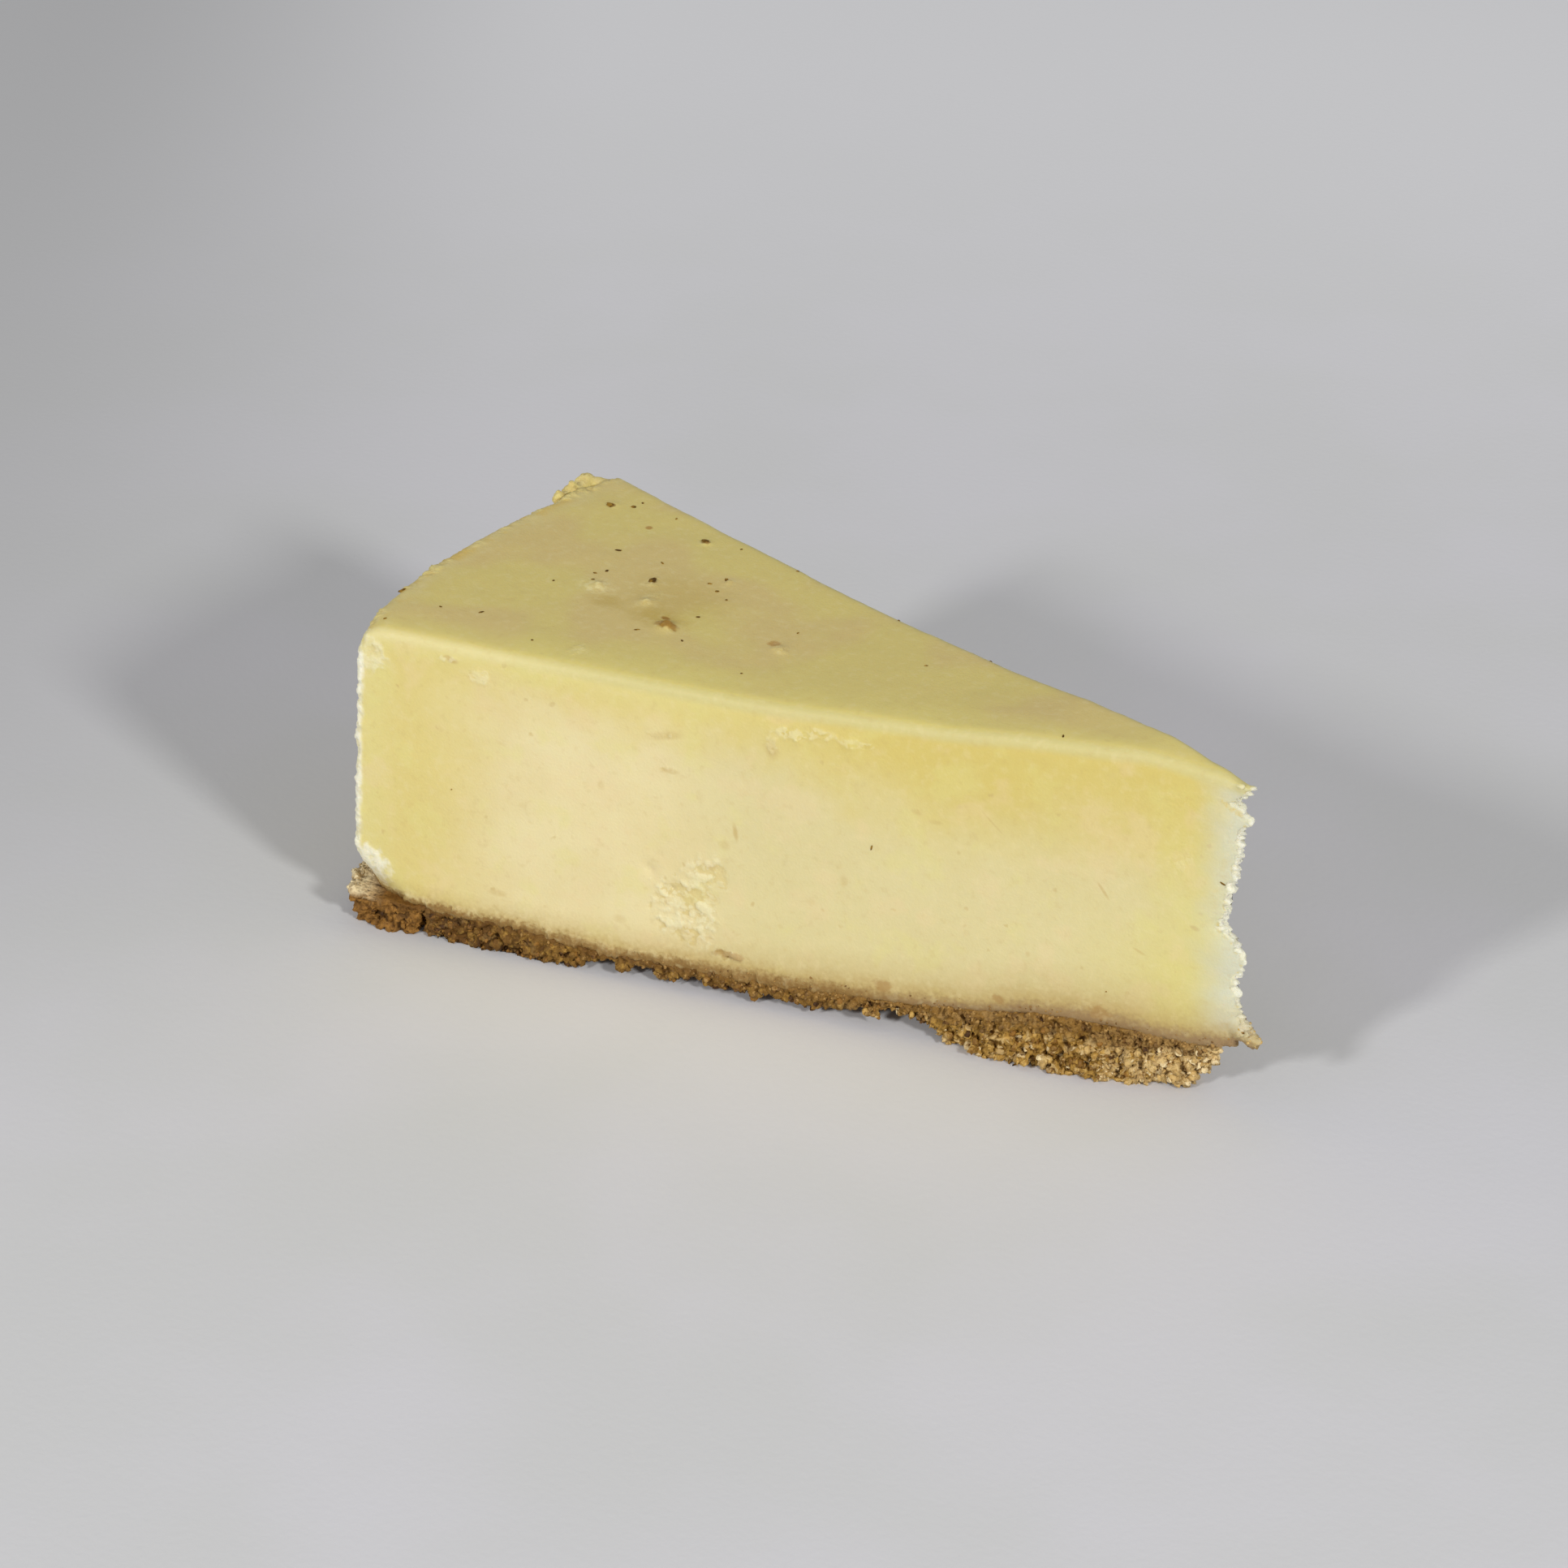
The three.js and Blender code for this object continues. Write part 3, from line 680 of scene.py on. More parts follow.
def custard_tree():
    sizes = {"Softening": 1, "Crag depth": 1.0, "Teeth": 1.0, "Wobble": 1.0, "Swell": 1.0, "Sink": 1.0}
    graph, entry = geometry_tree("custard skin", sizes)
    spot = net_spot(graph)
    normal = graph.add("GeometryNodeInputNormal")
    rough, white = torn(spot, normal)
    warped = spot.mm + (lumps(spot.mm, 0.9, 3, 1)["Color"] - 0.5) * 2.2
    plates = parts(grains(warped, 1.7, "Color", 2))[0]
    crumbly = step(lumps(spot.mm, 0.9, 4, 15), 0.36, 0.64)
    stretched = {"X": spot.along * 0.3, "Y": spot.from_near * 0.4, "Z": spot.height}
    layers = graph.add("ShaderNodeCombineXYZ", None, stretched)
    teeth = step(lumps(layers, 0.65, 3, 21), 0.38, 0.62)
    thin_end = step(spot.radius, 15, 11)
    crag = plates * 0.6 + crumbly * 0.4
    sharp = (rough * 2).least(1)
    geometry = entry
    for name, value in (("torn", rough), ("white", white), ("crag", crag), ("fine", sharp + 0.05)):
        geometry = store(geometry, name, value)
    foot = step(spot.above_crust, 2.4, 1.0) * 0.9
    rounded = graph.add(
        "GeometryNodeBlurAttribute",
        {"data_type": "FLOAT_VECTOR"},
        {"Value": spot.mm, "Iterations": entry["Softening"], "Weight": 1 - sharp.most(foot)},
    )
    soft = graph.add("GeometryNodeSetPosition", None, {"Geometry": geometry, "Position": rounded * MM})
    wobble = lumps(spot.mm, 7, 2, 9) - 0.5
    bumps = (crag - 0.5) * rough * (1 - thin_end * 0.9) * entry["Crag depth"]
    depth = bumps + wobble * entry["Wobble"] + entry["Swell"]
    bite = (teeth - 0.6) * rough * thin_end * entry["Teeth"]
    sunk = step(spot.above_crust, 1.4, 0.2) * entry["Sink"]
    drop = graph.add("ShaderNodeCombineXYZ", None, {"X": bite, "Z": -sunk})
    moved = normal * depth + drop
    shaped = graph.add("GeometryNodeSetPosition", None, {"Geometry": soft, "Offset": moved})
    return close_tree(shaped, custard)


filling_host = even_copy("filling", CUSTARD_VOXEL)
custard_sizes = {
    "Softening": 18,
    "Crag depth": 1.3 * MM,
    "Teeth": 1.0 * MM,
    "Wobble": 0.25 * MM,
    "Swell": 0.12 * MM,
    "Sink": 0.7 * MM,
}
filling = dress("custard", filling_host, custard_tree(), custard_sizes, CUSTARD_SHARE)
bpy.data.objects.remove(filling_host)
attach(filling, "root")
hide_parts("filling")

# %% [markdown]
# The crust is pressed biscuit crumb: brown along the cut, rusty on the chunk by the rim, dusty on
# the ledge that stands out there, and at the thin end a loose heap of golden and pale granules.
# The custard has soaked its top edge. Like the custard it starts from its solid, rebuilt from
# voxels. A tree then raises small plates and rough noise on it, and sinks the gaps between. How
# high a point stands is stored on the mesh as grit, so that the finish can paint shade into the gaps.

# %% Crust finish
# The biscuit's dark tone, which also serves as painted shade in the gaps between the grains.
DARK_BISCUIT_AND_GAP_SHADE = paint(66, 42, 14)
BISCUIT_BROWN = paint(104, 70, 26)
BISCUIT_GOLD = paint(178, 138, 64)
BISCUIT_PALE = paint(221, 190, 130)
# Painted shade for the gaps in the heap and in the middle of the crust.
HEAP_GAP_SHADE = paint(104, 70, 28)
BISCUIT_RUST = paint(168, 120, 56)
BISCUIT_DUST = paint(236, 216, 170)
CRUST_SOAKED = paint(138, 102, 48)

# how deep the custard soaked the crust: distance from the tip, height over the crust's top
SOAKED_BAND = [(4, -0.8), (14, -2.6), (40, -1.8), (60, -1.0), (110, -0.6)]


def pale_patches(spot):
    """Where the heap's biscuit is pale: in patches, more of them at its thin end."""
    thin_end = step(spot.radius, 24, 9, 0.2)
    return step(lumps(spot.mm, 2.1, 4, 51) + thin_end, 0.55, 0.63)


def crust_material():
    material, graph, shader = new_material("crumb_crust")
    spot = surface_spot(graph)
    grit = graph.stored("grit")
    warped = spot.mm + (lumps(spot.mm, 1.6, 3, 1)["Color"] - 0.5) * 2.2
    chance, tint, _ = parts(grains(warped, 1.6, "Color", 8))
    low_edge = step(spot.above_crust + step(spot.radius, 40, 60, 2.0), -3.4, -4.6)
    heap = step(spot.radius, 58, 36).most(low_edge * step(spot.radius, 76, 60))
    speckle = lumps(spot.mm, 1.1, 4, 27)
    middle = step(spot.radius, 112, 98) * (1 - heap)
    honey = (heap * 0.85 + middle * 0.3 + step(speckle, 0.48, 0.7) * 0.7).least(1)
    colour = blend(BISCUIT_BROWN, BISCUIT_GOLD, honey)
    thin_end = step(spot.radius, 24, 9)
    pale = step(chance + thin_end * 0.4, 0.8, 0.88)
    colour = blend(colour, BISCUIT_PALE, pale * (heap * 0.7 + 0.1))
    colour = blend(colour, BISCUIT_PALE, pale_patches(spot) * heap * 0.7)
    chunk = step(spot.radius, 117, 120) * step(spot.from_near, 8, 4)
    colour = blend(colour, BISCUIT_RUST, chunk * (step(speckle, 0.35, 0.55) * 0.5 + 0.3))
    shade = step(lumps(spot.mm, 0.9, 4, 33), 0.48, 0.68) * 0.7
    shade = shade + step(tint, 0.7, 0.9) * 0.3
    shade = shade * (0.72 - heap * 0.55 - chunk * 0.3 - middle * 0.35)
    colour = blend(colour, DARK_BISCUIT_AND_GAP_SHADE, shade)
    dust = step(spot.from_rim, 5, 0) * step(spot.above_crust + chance, -1.2, 0.2)
    colour = blend(colour, BISCUIT_DUST, dust * (tint * 0.4 + 0.6))
    wander = (lumps(spot.mm, 2.2, 3, 7) - 0.5) * 2.4
    band = follow(spot.radius, SOAKED_BAND)
    soaked = step(spot.above_crust + wander - band, -0.8, 0.5)
    wet = blend(BISCUIT_BROWN, CRUST_SOAKED, step(spot.radius, 95, 55))
    colour = blend(colour, wet, soaked * step(spot.from_rim, 2, 5) * 0.85)
    # Painted shade: the gaps, where the stored grit is low, turn dark.
    gap = blend(DARK_BISCUIT_AND_GAP_SHADE, HEAP_GAP_SHADE, heap.most(middle * 0.7))
    colour = blend(colour, gap, step(grit, 0.48, 0.28) * 0.8)
    fleck = lumps(spot.mm, 0.4, 3, 5)
    colour = blend(colour, DARK_BISCUIT_AND_GAP_SHADE, step(fleck, 0.5, 0.36) * 0.35)
    feed(shader, Base_Color=colour, Roughness=0.6, Normal=relief(fleck, 0.25))
    feed(shader, Specular_IOR_Level=0.18)
    return material


crust_finish = crust_material()
print("crust nodes:", len(crust_finish.node_tree.nodes))

# %% [markdown]
# The crust's tree moves its vertices by a depth that is full on the sides and slight elsewhere,
# which is the input Calm, and keeps everything on or above the table.

# %% Crust shape
CRUST_VOXEL = 0.26 * MM
CRUST_SHARE = 0.56
CRUST_SIZES = {"Grain depth": 3.0 * MM, "Calm": 0.15}


def crust_tree():
    graph, entry = geometry_tree("crumb crust", {"Grain depth": 1.0, "Calm": 1.0})
    spot = net_spot(graph)
    warped = spot.mm + (lumps(spot.mm, 0.9, 3, 1)["Color"] - 0.5) * 1.5
    clods = parts(grains(warped, 1.9, "Color", 2))[0]
    gaps = grains(warped, 1.2, shift=6)
    fine = step(lumps(spot.mm, 0.8, 4, 9), 0.32, 0.68)
    clumps = lumps(spot.mm, 4.5, 2, 25) - 0.5
    grit = clods * 0.3 + fine * 0.4 + (1 - gaps) * 0.4
    side = step(spot.above_crust, -0.2, -1.2).most(step(spot.from_rim, 0.4, -0.6) * 0.6)
    edge = step(spot.from_near, 4, 1).most(step(spot.from_far, 4, 1) * 0.4)
    edge = edge.most(step(spot.from_rim, 2, 0) * 0.9)
    geometry = store(store(entry, "grit", grit), "fine", edge)
    heap = step(spot.radius, 58, 36) * 0.35 + 0.65
    rise = (grit - 0.55) * heap + clumps * 0.7
    depth = rise * (side * (1 - entry["Calm"]) + entry["Calm"]) * entry["Grain depth"]
    moved = graph.add("GeometryNodeInputPosition") + graph.add("GeometryNodeInputNormal") * depth
    return close_tree(rest_on_table(geometry, moved), crust_finish)


crust_host = even_copy("crust", CRUST_VOXEL)
crust = dress("crumb_slab", crust_host, crust_tree(), CRUST_SIZES, CRUST_SHARE)
bpy.data.objects.remove(crust_host)
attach(crust, "root")
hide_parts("crust")

# %% [markdown]
# Loose crumbs stand on the crust's sides and cling to the custard's foot. Each kind is one piece.
# A tree strews points over the skin it sits on, more where the mask says so, and puts a rough
# little lump on each point, tilted and sized by chance from a fixed seed. The lumps are cubes of
# 24 faces pushed out of shape, because thousands of them have to stay light.

# %% Crumbs by the thousand
CRUMB_FORMS = 4
FULL_TURN = 6.28
SQUARE_MM_IN_A_METRE = 1e6


def crumb_material(name, dark, light, roughness=0.6, glow=0.1, patches=0.0):
    """One kind of crumb: each has its own tone between two colours, and a fine grain."""
    material, graph, shader = new_material(name)
    spot = surface_spot(graph)
    tone = graph.stored("tone")
    grain = lumps(spot.mm, 0.45, 3)
    colour = blend(dark, light, step(tone + (grain - 0.5) * 1.1, 0.1, 0.9))
    if patches:
        colour = blend(colour, BISCUIT_PALE, pale_patches(spot) * patches)
    feed(shader, Base_Color=colour, Roughness=roughness, Normal=relief(grain, 0.3))
    feed(shader, Specular_IOR_Level=0.3, Subsurface_Weight=glow, Subsurface_Scale=0.0006)
    feed(shader, Subsurface_Radius=(1.0, 0.8, 0.6))
    return material


def crumb_shapes(graph, count):
    """A few rough lumps, about 1 mm in radius, as instances to pick from."""
    shapes = []
    for i in range(count):
        sides = {"Vertices X": 3, "Vertices Y": 3, "Vertices Z": 3}
        block = graph.add("GeometryNodeMeshCube", None, sides)
        outwards = combine("NORMALIZE", graph.add("GeometryNodeInputPosition"))
        reach = lumps(outwards, 0.8, 2, 7.0 * i + 3) * 2.6 - 0.35
        squash = (1.1 * MM, (0.8 + 0.1 * i) * MM, (0.6 + 0.1 * i) * MM)
        pushed = {"Geometry": block, "Position": outwards * reach * squash}
        rough = graph.add("GeometryNodeSetPosition", None, pushed)
        shapes.append(graph.add("GeometryNodeGeometryToInstance", None, {"Geometry": rough}))
    joined = graph.add("GeometryNodeJoinGeometry", None, {"Geometry": shapes[0]})
    for shape in shapes[1:]:
        graph.tree.links.new(shape.socket, joined.socket.node.inputs[0])
    return joined


def strew_tree(name, where, material):
    """A tree that strews crumbs over its geometry, as thickly as the mask `where` says."""
    sizes = dict.fromkeys(("Count per square mm", "Smallest", "Largest", "Sink", "Tilt", "Flatness"), 1.0)
    graph, entry = geometry_tree(name, {**sizes, "Seed": 1})
    spot = net_spot(graph)
    density = where(spot) * entry["Count per square mm"] * SQUARE_MM_IN_A_METRE
    strewn = {"Mesh": entry, "Density": density, "Seed": entry["Seed"]}
    points = graph.add("GeometryNodeDistributePointsOnFaces", None, strewn)
    drop = points["Normal"] * (entry["Sink"] * -MM)
    set_in = graph.add("GeometryNodeSetPosition", None, {"Geometry": points, "Offset": drop})

    def chance(seed, kind="FLOAT", low=0.0, high=1.0):
        tail = {"FLOAT": "_001", "INT": "_002"}.get(kind, "")
        sockets = {"Min" + tail: low, "Max" + tail: high, "Seed": entry["Seed"] + seed}
        return graph.add("FunctionNodeRandomValue", {"data_type": kind}, sockets, "Value" + tail)

    small = chance(1)
    size = entry["Smallest"] + (entry["Largest"] - entry["Smallest"]) * small * small
    lean = chance(2, "FLOAT_VECTOR", (-1, -1, -1), (1, 1, 1)) * entry["Tilt"]
    spin = graph.add("ShaderNodeCombineXYZ", None, {"Z": chance(3, low=0.0, high=FULL_TURN)})
    turned = points["Rotation"]
    for angles in (lean, spin):
        sockets = {"Rotation": turned, "Rotate By": angles}
        turned = graph.add("FunctionNodeRotateRotation", {"rotation_space": "LOCAL"}, sockets)
    thin = graph.add("ShaderNodeCombineXYZ", None, {"X": 1.0, "Y": 1.0, "Z": entry["Flatness"]})
    placed = graph.add(
        "GeometryNodeInstanceOnPoints",
        None,
        {
            "Points": set_in,
            "Instance": crumb_shapes(graph, CRUMB_FORMS),
            "Pick Instance": True,
            "Instance Index": chance(4, "INT", 0, CRUMB_FORMS - 1),
            "Rotation": turned,
            "Scale": thin * size * 0.5,
        },
    )
    toned = store(placed, "tone", chance(5), "INSTANCE")
    real = graph.add("GeometryNodeRealizeInstances", None, {"Geometry": toned})
    settled = rest_on_table(real, graph.add("GeometryNodeInputPosition"))
    return close_tree(settled, material)


def strew(name, host, where, material, seed, count, span, sink=0.1, tilt=3.0, flatness=1.0):
    """Strews one kind of crumb over a finished piece: span is its smallest and largest size in mm."""
    sizes = {"Count per square mm": count, "Smallest": span[0], "Largest": span[1], "Sink": sink}
    sizes.update({"Tilt": tilt, "Flatness": flatness, "Seed": seed})
    run_tree(host, strew_tree(name.replace("_", " "), where, material), sizes)
    piece = keep(name, host)
    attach(piece, "root")


# %% [markdown]
# The crust's crumbs come in five kinds: brown ones packed all along its sides, golden granules
# that fill the heap at the thin end, cream bits in the heap's pale patches, dusty ones on the
# ledge by the rim, and small soaked ones along the top edge, where the custard has run into the
# crumb and no line shows. The masks keep them off the top, which the custard covers, and off the
# middle of the underside.

# %% Crumbs on the crust


def crust_sides(spot):
    """The crust's cut sides and rim, and not its top or the middle of its underside."""
    near = step(spot.from_near, 1.6, 0.4)
    far = step(spot.from_far, 1.6, 0.4) * 0.5
    rim = step(spot.from_rim, -2.4, -3.6)
    return near.most(far).most(rim) * step(spot.above_crust, -0.7, -1.4)


def crust_heap(spot):
    """The loose heap near the thin end, on the near cut, below its soaked top."""
    soaked = follow(spot.radius, [(6, 0.8), (16, 2.4), (38, 2.4), (54, 0.8)])
    dry = step(spot.above_crust + soaked, -0.4, -1.2)
    return crust_sides(spot) * step(spot.radius, 62, 42) * step(spot.from_near, 4, 1) * dry


def crust_bits(spot):
    """The pale patches of the heap."""
    return crust_heap(spot) * (pale_patches(spot) + 0.1)


def crust_ledge(spot):
    """The soaked top edge of the near cut, where custard and crumbs run together."""
    high = step(spot.above_crust, -2.8, -1.6)
    return high * step(spot.from_near, 3, 1.5) * step(spot.radius, 110, 60)


def crust_brown(spot):
    """The sides, thinner on the heap, which is golden."""
    chunk = step(spot.radius, 116, 120, 0.7)
    return crust_sides(spot) * (step(spot.radius, 40, 60, 0.8) + 0.2 - chunk)


def rim_ledge(spot):
    """The top of the crust where it stands out past the custard, at the rim."""
    return step(spot.from_rim, 0.2, -0.8) * step(spot.above_crust, -1.2, -0.4)


brown_crumb = crumb_material("brown_crumb", paint(70, 42, 12), paint(150, 106, 42))
golden_crumb = crumb_material("golden_crumb", paint(126, 88, 30), paint(198, 158, 82), 0.45, 0.2, 0.5)
cream_crumb = crumb_material("cream_crumb", paint(192, 158, 96), paint(236, 212, 162))
dusty_crumb = crumb_material("dusty_crumb", paint(166, 138, 90), paint(230, 212, 170))
soaked_crumb = crumb_material("soaked_crumb", paint(118, 86, 42), paint(172, 134, 74))
strew("brown_crumbs", crust, crust_brown, brown_crumb, 11, 1.0, (0.3, 1.1), 0.2)
strew("golden_crumbs", crust, crust_heap, golden_crumb, 23, 1.9, (0.3, 1.5), 0.3, 3.0, 0.8)
strew("cream_crumbs", crust, crust_bits, cream_crumb, 37, 2.2, (0.3, 1.3), 0.12, 1.2, 0.6)
strew("dusty_crumbs", crust, rim_ledge, dusty_crumb, 47, 2.2, (0.25, 0.9), 0.1)
strew("soaked_crumbs", crust, crust_ledge, soaked_crumb, 41, 2.5, (0.25, 0.8))

# %% [markdown]
# Crumbs also cling to the custard itself. Along the stained foot of the near cut the smallest ones
# stand on it, so that custard and crust pass into each other without a line, and the tag that hangs
# from the thin end took a few along. The same tree strews them over the custard.

# %% Crumbs on the custard


def custard_foot(spot):
    """The lowest, stained strip of the near cut, towards the thin end."""
    ragged = (lumps(spot.mm, 2.0, 3, 55) - 0.5) * 2.4
    low = step(spot.above_crust + ragged, 1.3, 0.3) * step(spot.above_crust, -0.5, 0.0)
    return low * step(spot.from_near, 3, 1.5) * step(spot.radius, 90, 60)


strew("foot_crumbs", filling, custard_foot, soaked_crumb, 53, 2.0, (0.16, 0.5), 0.1)


def tag_end(spot):
    """The end of the tag of custard that hangs from the thin end, which took crumbs along."""
    end = step(spot.along, 0.2, -0.8)
    return end * step(spot.height, 13, 12) * step(spot.height, 8, 9)


strew("tag_crumbs", filling, tag_end, golden_crumb, 61, 3.0, (0.2, 0.6))

# %% [markdown]
# A few specks lie on the top and the near cut: burnt crumbs from the oven, dark brown and mostly
# under a millimetre long. Each is placed by measure, so a loop over a short list makes them, and
# not a tree: a small ball, flattened, turned and roughened by chance, half sunk in the skin.

# %% Burnt specks
NEAR_ALONG = Vector((-math.cos(CUT_ANGLE), -math.sin(CUT_ANGLE), 0))
NEAR_OUT = Vector((math.sin(CUT_ANGLE), -math.cos(CUT_ANGLE), 0))
LONG_REACH = 0.2  # metres, well outside the slice


def on_top(radius, degrees):
    """The point of the custard's skin straight below a place on the top, and its normal."""
    turn = math.radians(degrees)
    start = (TIP + Vector((-radius * math.cos(turn), -radius * math.sin(turn), 0))) * MM
    start.z = LONG_REACH
    return filling.ray_cast(start, Vector((0, 0, -1)))[1:3]


def on_cut(along, height):
    """The point of the custard's skin behind a place on the near cut, and its normal."""
    start = (TIP + NEAR_ALONG * along + Vector((0, 0, height))) * MM + NEAR_OUT * LONG_REACH
    return filling.ray_cast(start, -NEAR_OUT)[1:3]


def add_speck(form, place, normal, size, chance):
    """One flat rough lump: size is its length, width and thickness in mm."""
    ball = bmesh.new()
    bmesh.ops.create_icosphere(ball, subdivisions=2, radius=0.5)
    turn = normal.to_track_quat("Z", "Y").to_matrix() @ Matrix.Rotation(chance.uniform(0, 3.1), 3, "Z")
    for vertex in ball.verts:
        rough = chance.uniform(0.8, 1.15)
        vertex.co = Vector([c * s * MM * rough for c, s in zip(vertex.co, size)])
        vertex.co = turn @ vertex.co + place
    part = bpy.data.meshes.new("speck")
    ball.to_mesh(part)
    ball.free()
    form.from_mesh(part)
    bpy.data.meshes.remove(part)


TOP_SPECKS = [  # from the tip, degrees, length, width
    (101.6, -10.9, 1.5, 1.1), (98.8, -2.9, 1.7, 1.2), (119.2, -9.9, 1.5, 1.0), (116.8, -11.0, 0.9, 0.7),
    (116.8, -11.9, 0.5, 0.4), (108.6, -5.2, 1.1, 0.5), (91.0, -7.0, 1.0, 0.6), (92.0, -5.5, 0.7, 0.4),
    (89.7, -4.8, 0.6, 0.5), (87.0, -4.0, 0.4, 0.4), (101.3, -5.8, 0.8, 0.3), (105.7, -2.0, 0.7, 0.5),
    (106.6, -1.2, 0.7, 0.4), (105.6, -0.2, 0.6, 0.4), (87.0, 0.3, 0.7, 0.4), (91.9, 5.3, 0.9, 0.3),
    (85.0, 5.0, 0.6, 0.3), (113.1, 8.6, 1.0, 0.3), (118.8, 9.2, 0.5, 0.3), (109.8, 1.7, 0.4, 0.4),
    (73.3, -2.9, 0.5, 0.3), (53.2, -5.0, 0.6, 0.25), (73.4, 8.2, 0.4, 0.3), (126.3, 8.1, 1.2, 0.6),
    (109.8, -12.0, 0.6, 0.3), (96.3, -12.1, 0.4, 0.3), (86.1, -13.0, 0.6, 0.4), (66.0, -13.3, 0.7, 0.4),
    (48.0, -13.2, 0.5, 0.4), (103.0, 10.8, 0.4, 0.3), (124.0, 12.2, 0.6, 0.4), (26.4, 10.0, 0.7, 0.3),
]
CUT_SPECKS = [  # along the near cut, height, length, width
    (51.8, 28.2, 0.85, 0.25), (3.6, 32.6, 0.9, 0.25), (113.4, 25.0, 0.22, 0.2), (18.6, 13.0, 0.22, 0.2),
]
SPECK_DARK = paint(80, 55, 14)
SPECK_BROWN = paint(152, 116, 42)
SPECK_SEED = 5
TOP_THICKNESS = 0.24
CUT_THICKNESS = 0.3


def speck_material():
    material, graph, shader = new_material("burnt_speck")
    mm = graph.add("ShaderNodeTexCoord", out="Object") * 1000
    tone = lumps(mm, 0.6, 3)
    colour = blend(SPECK_DARK, SPECK_BROWN, step(tone, 0.38, 0.62))
    feed(shader, Base_Color=colour, Roughness=0.8, Normal=relief(tone, 0.1))
    feed(shader, Specular_IOR_Level=0.15)
    return material


def make_specks():
    chance = random.Random(SPECK_SEED)
    form = bmesh.new()
    for radius, degrees, length, width in TOP_SPECKS:
        add_speck(form, *on_top(radius, degrees), (length, width, TOP_THICKNESS), chance)
    for along, height, length, width in CUT_SPECKS:
        add_speck(form, *on_cut(along, height), (length, width, CUT_THICKNESS), chance)
    mesh = bpy.data.meshes.new("burnt_specks")
    form.to_mesh(mesh)
    form.free()
    mesh.materials.append(speck_material())
    piece = add_object("burnt_specks", mesh)
    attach(piece, "root")
    print("burnt specks:", len(TOP_SPECKS) + len(CUT_SPECKS))


make_specks()

# %% [markdown]
# The slice stands on a plain sheet of pale paper. It only has to catch the shadows, so it is one
# large flat square with a faint, uneven tint, with painted light towards the back and painted
# shade on the left.

# %% Floor
FLOOR_HALF = 4.0
CAMERA_AZIMUTH = math.radians(34.5)
PAPER_WARM = paint(211, 211, 210)
PAPER_COOL = paint(215, 214, 216)
# Painted light towards the back of the paper.
PAPER_PAINTED_LIGHT = paint(240, 240, 240)
PAPER_SHADED = paint(190, 190, 189)


def floor_material():
    material, graph, shader = new_material("pale_paper")
    mm = graph.add("ShaderNodeTexCoord", out="Object") * 1000
    cloud = lumps(mm, 60, 3)
    colour = blend(PAPER_WARM, PAPER_COOL, step(cloud, 0.35, 0.65))
    x, y, _ = parts(mm)
    behind = y * math.cos(CAMERA_AZIMUTH) - x * math.sin(CAMERA_AZIMUTH)
    sideways = x * math.cos(CAMERA_AZIMUTH) + y * math.sin(CAMERA_AZIMUTH)
    # Painted light: the paper turns lighter towards the back.
    colour = blend(colour, PAPER_PAINTED_LIGHT, step(behind + sideways * 0.3, 60, 460))
    # Painted shade: the paper turns darker on the left.
    left = step(sideways, -40, -170) * step(behind, -60, 60)
    colour = blend(colour, PAPER_SHADED, left * 0.8)
    fibres = relief(lumps(mm, 1.2, 3), 0.03)
    feed(shader, Base_Color=colour, Roughness=0.9, Normal=fibres)
    feed(shader, Specular_IOR_Level=0.15)
    return material


def make_floor():
    mesh = bpy.data.meshes.new("floor")
    corners = [(x * FLOOR_HALF, y * FLOOR_HALF, 0) for x, y in ((-1, -1), (1, -1), (1, 1), (-1, 1))]
    mesh.from_pydata(corners, [], [(0, 1, 2, 3)])
    mesh.materials.append(floor_material())
    floor = add_object("floor", mesh)
    print("floor, m:", 2 * FLOOR_HALF, "square")


make_floor()

# %% [markdown]
# Two soft lamps light the slice from the front, one well to the right and one to the left, both
# low, so the cut face is brighter than the top and two soft shadows run off behind. Pale paper all
# around gives the rest, which is the world's colour here.

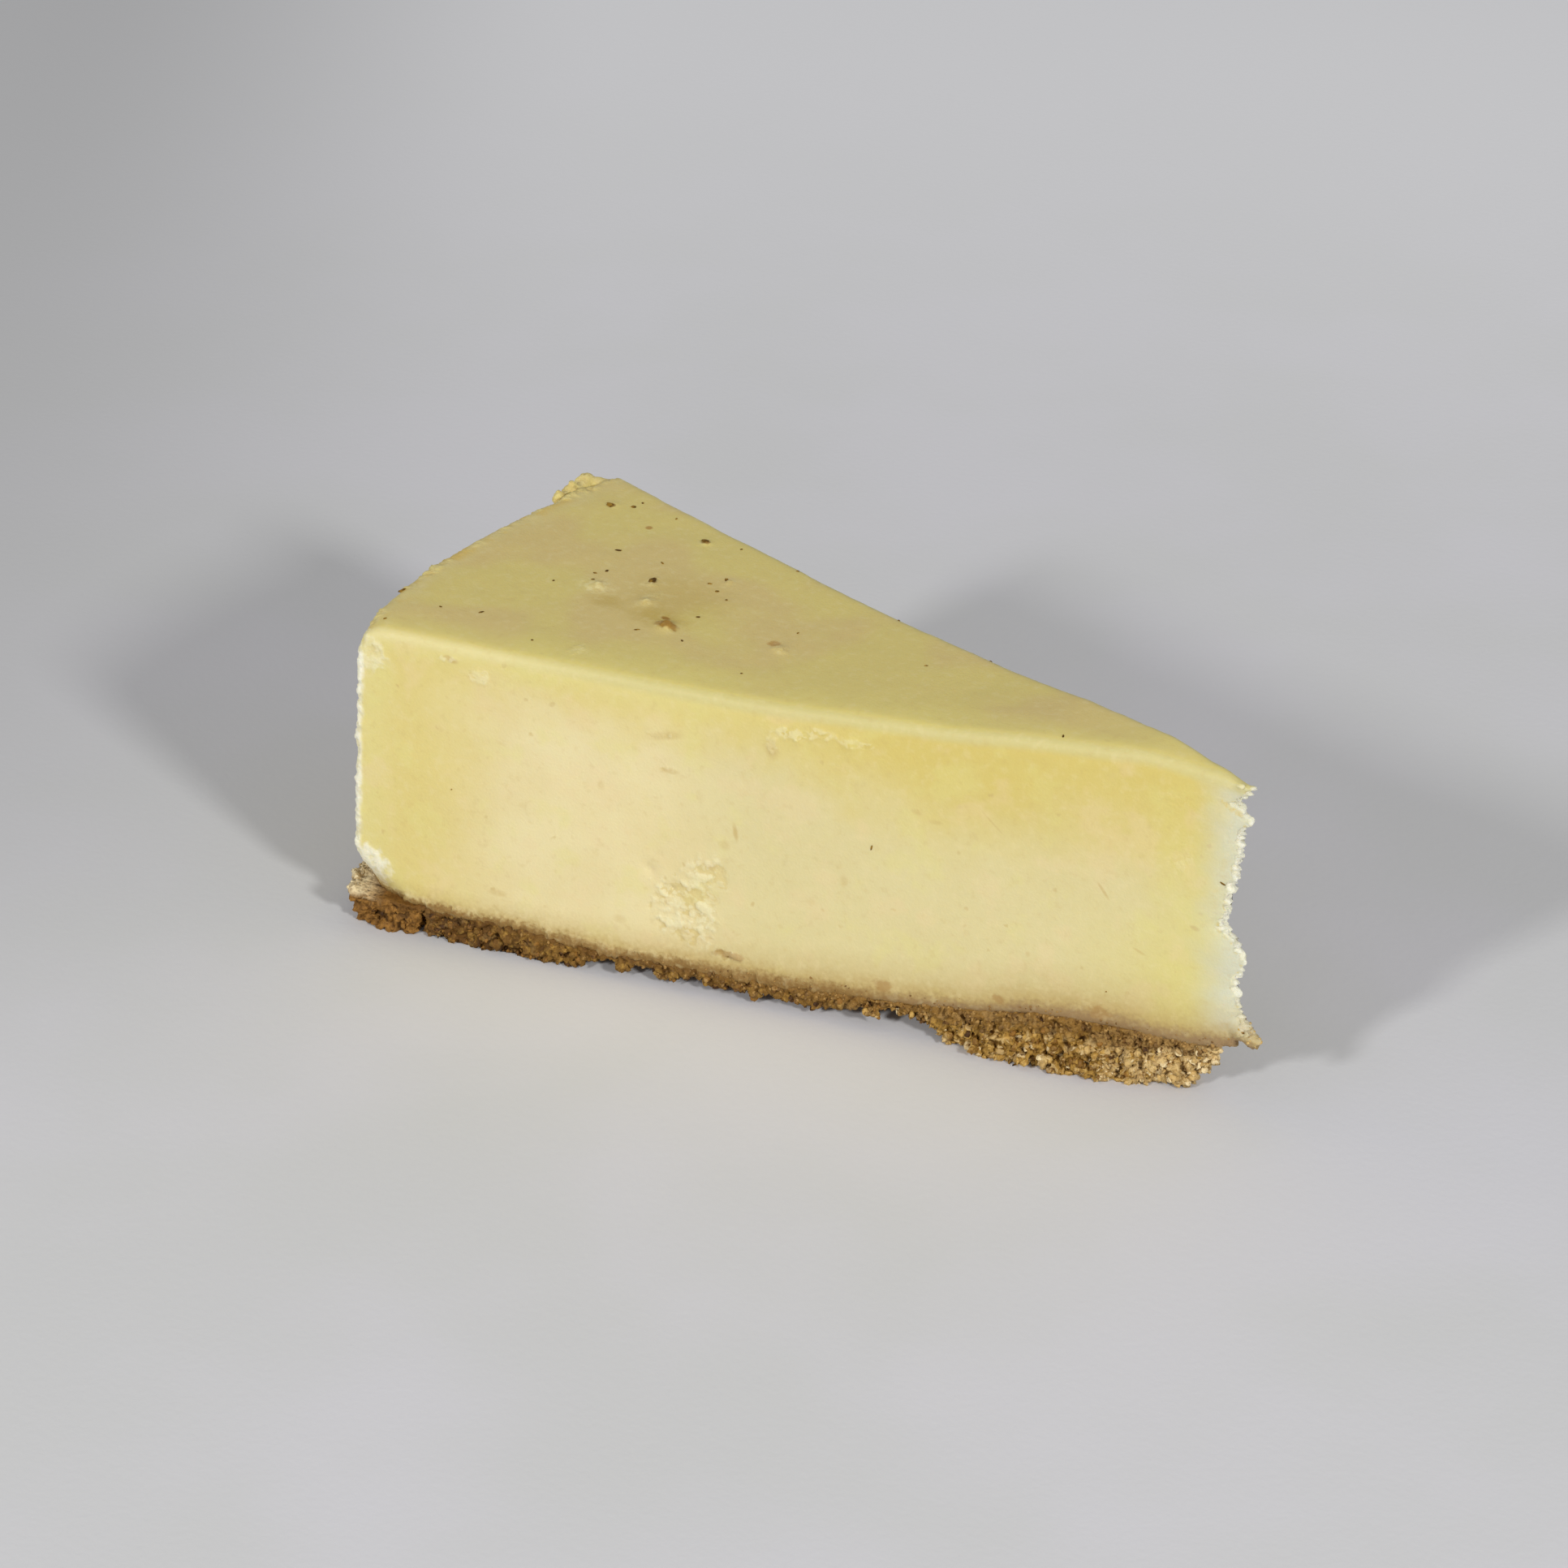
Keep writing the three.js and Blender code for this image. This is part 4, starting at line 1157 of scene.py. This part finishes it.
# %% Lamps and surroundings
LAMP_DISTANCE = 1.6
LAMPS = [  # name, bearing in degrees from +X, elevation, size in metres, watts
    ("right lamp", -22.2, 28, 0.21, 12.6),
    ("left lamp", -101.7, 28, 0.21, 10.4),
]
LAMP_AIM = Vector((0.0, 0.0, 0.02))
SURROUND_COLOUR = (0.96, 0.96, 1.0, 1.0)
SURROUND_STRENGTH = 0.385


def add_lamp(name, bearing, elevation, size, watts):
    light = bpy.data.lights.new(name, "AREA")
    light.shape = "DISK"
    light.size = size
    light.energy = watts
    lamp = add_object(name, light)
    turn, rise = math.radians(bearing), math.radians(elevation)
    away = Vector((math.cos(turn) * math.cos(rise), math.sin(turn) * math.cos(rise), math.sin(rise)))
    lamp.location = LAMP_AIM + away * LAMP_DISTANCE
    lamp.rotation_euler = (-away).to_track_quat("-Z", "Y").to_euler()
    print(name, "at, m:", [round(c, 2) for c in lamp.location])


for lamp in LAMPS:
    add_lamp(*lamp)
world = bpy.data.worlds.new("surroundings")
world.use_nodes = True
glow = world.node_tree.nodes["Background"].inputs
glow["Color"].default_value = SURROUND_COLOUR
glow["Strength"].default_value = SURROUND_STRENGTH
bpy.context.scene.world = world
bpy.context.scene.view_settings.view_transform = "Standard"

# %% [markdown]
# The camera stands where the photographer's did: to the right of the near cut, looking down at
# about 29 degrees from 0.6 m away. Distance and lens were worked out from the slice's own corners.

# %% Camera
CAMERA_ELEVATION = math.radians(28.78)
CAMERA_DISTANCE = 594.6 * MM
CAMERA_AIM = (TIP + Vector((-78.34, 7.84, 20.0))) * MM
LENS_MM = 96.9

lens = bpy.data.cameras.new("camera")
lens.lens = LENS_MM
lens.sensor_width = 36
lens.clip_start = 0.01
camera = add_object("camera", lens)
back = Vector((math.sin(CAMERA_AZIMUTH), -math.cos(CAMERA_AZIMUTH), 0)) * math.cos(CAMERA_ELEVATION)
back.z = math.sin(CAMERA_ELEVATION)
camera.location = CAMERA_AIM + back * CAMERA_DISTANCE
camera.rotation_euler = (-back).to_track_quat("-Z", "Y").to_euler()
bpy.context.scene.camera = camera
print("camera at, m:", [round(c, 3) for c in camera.location])
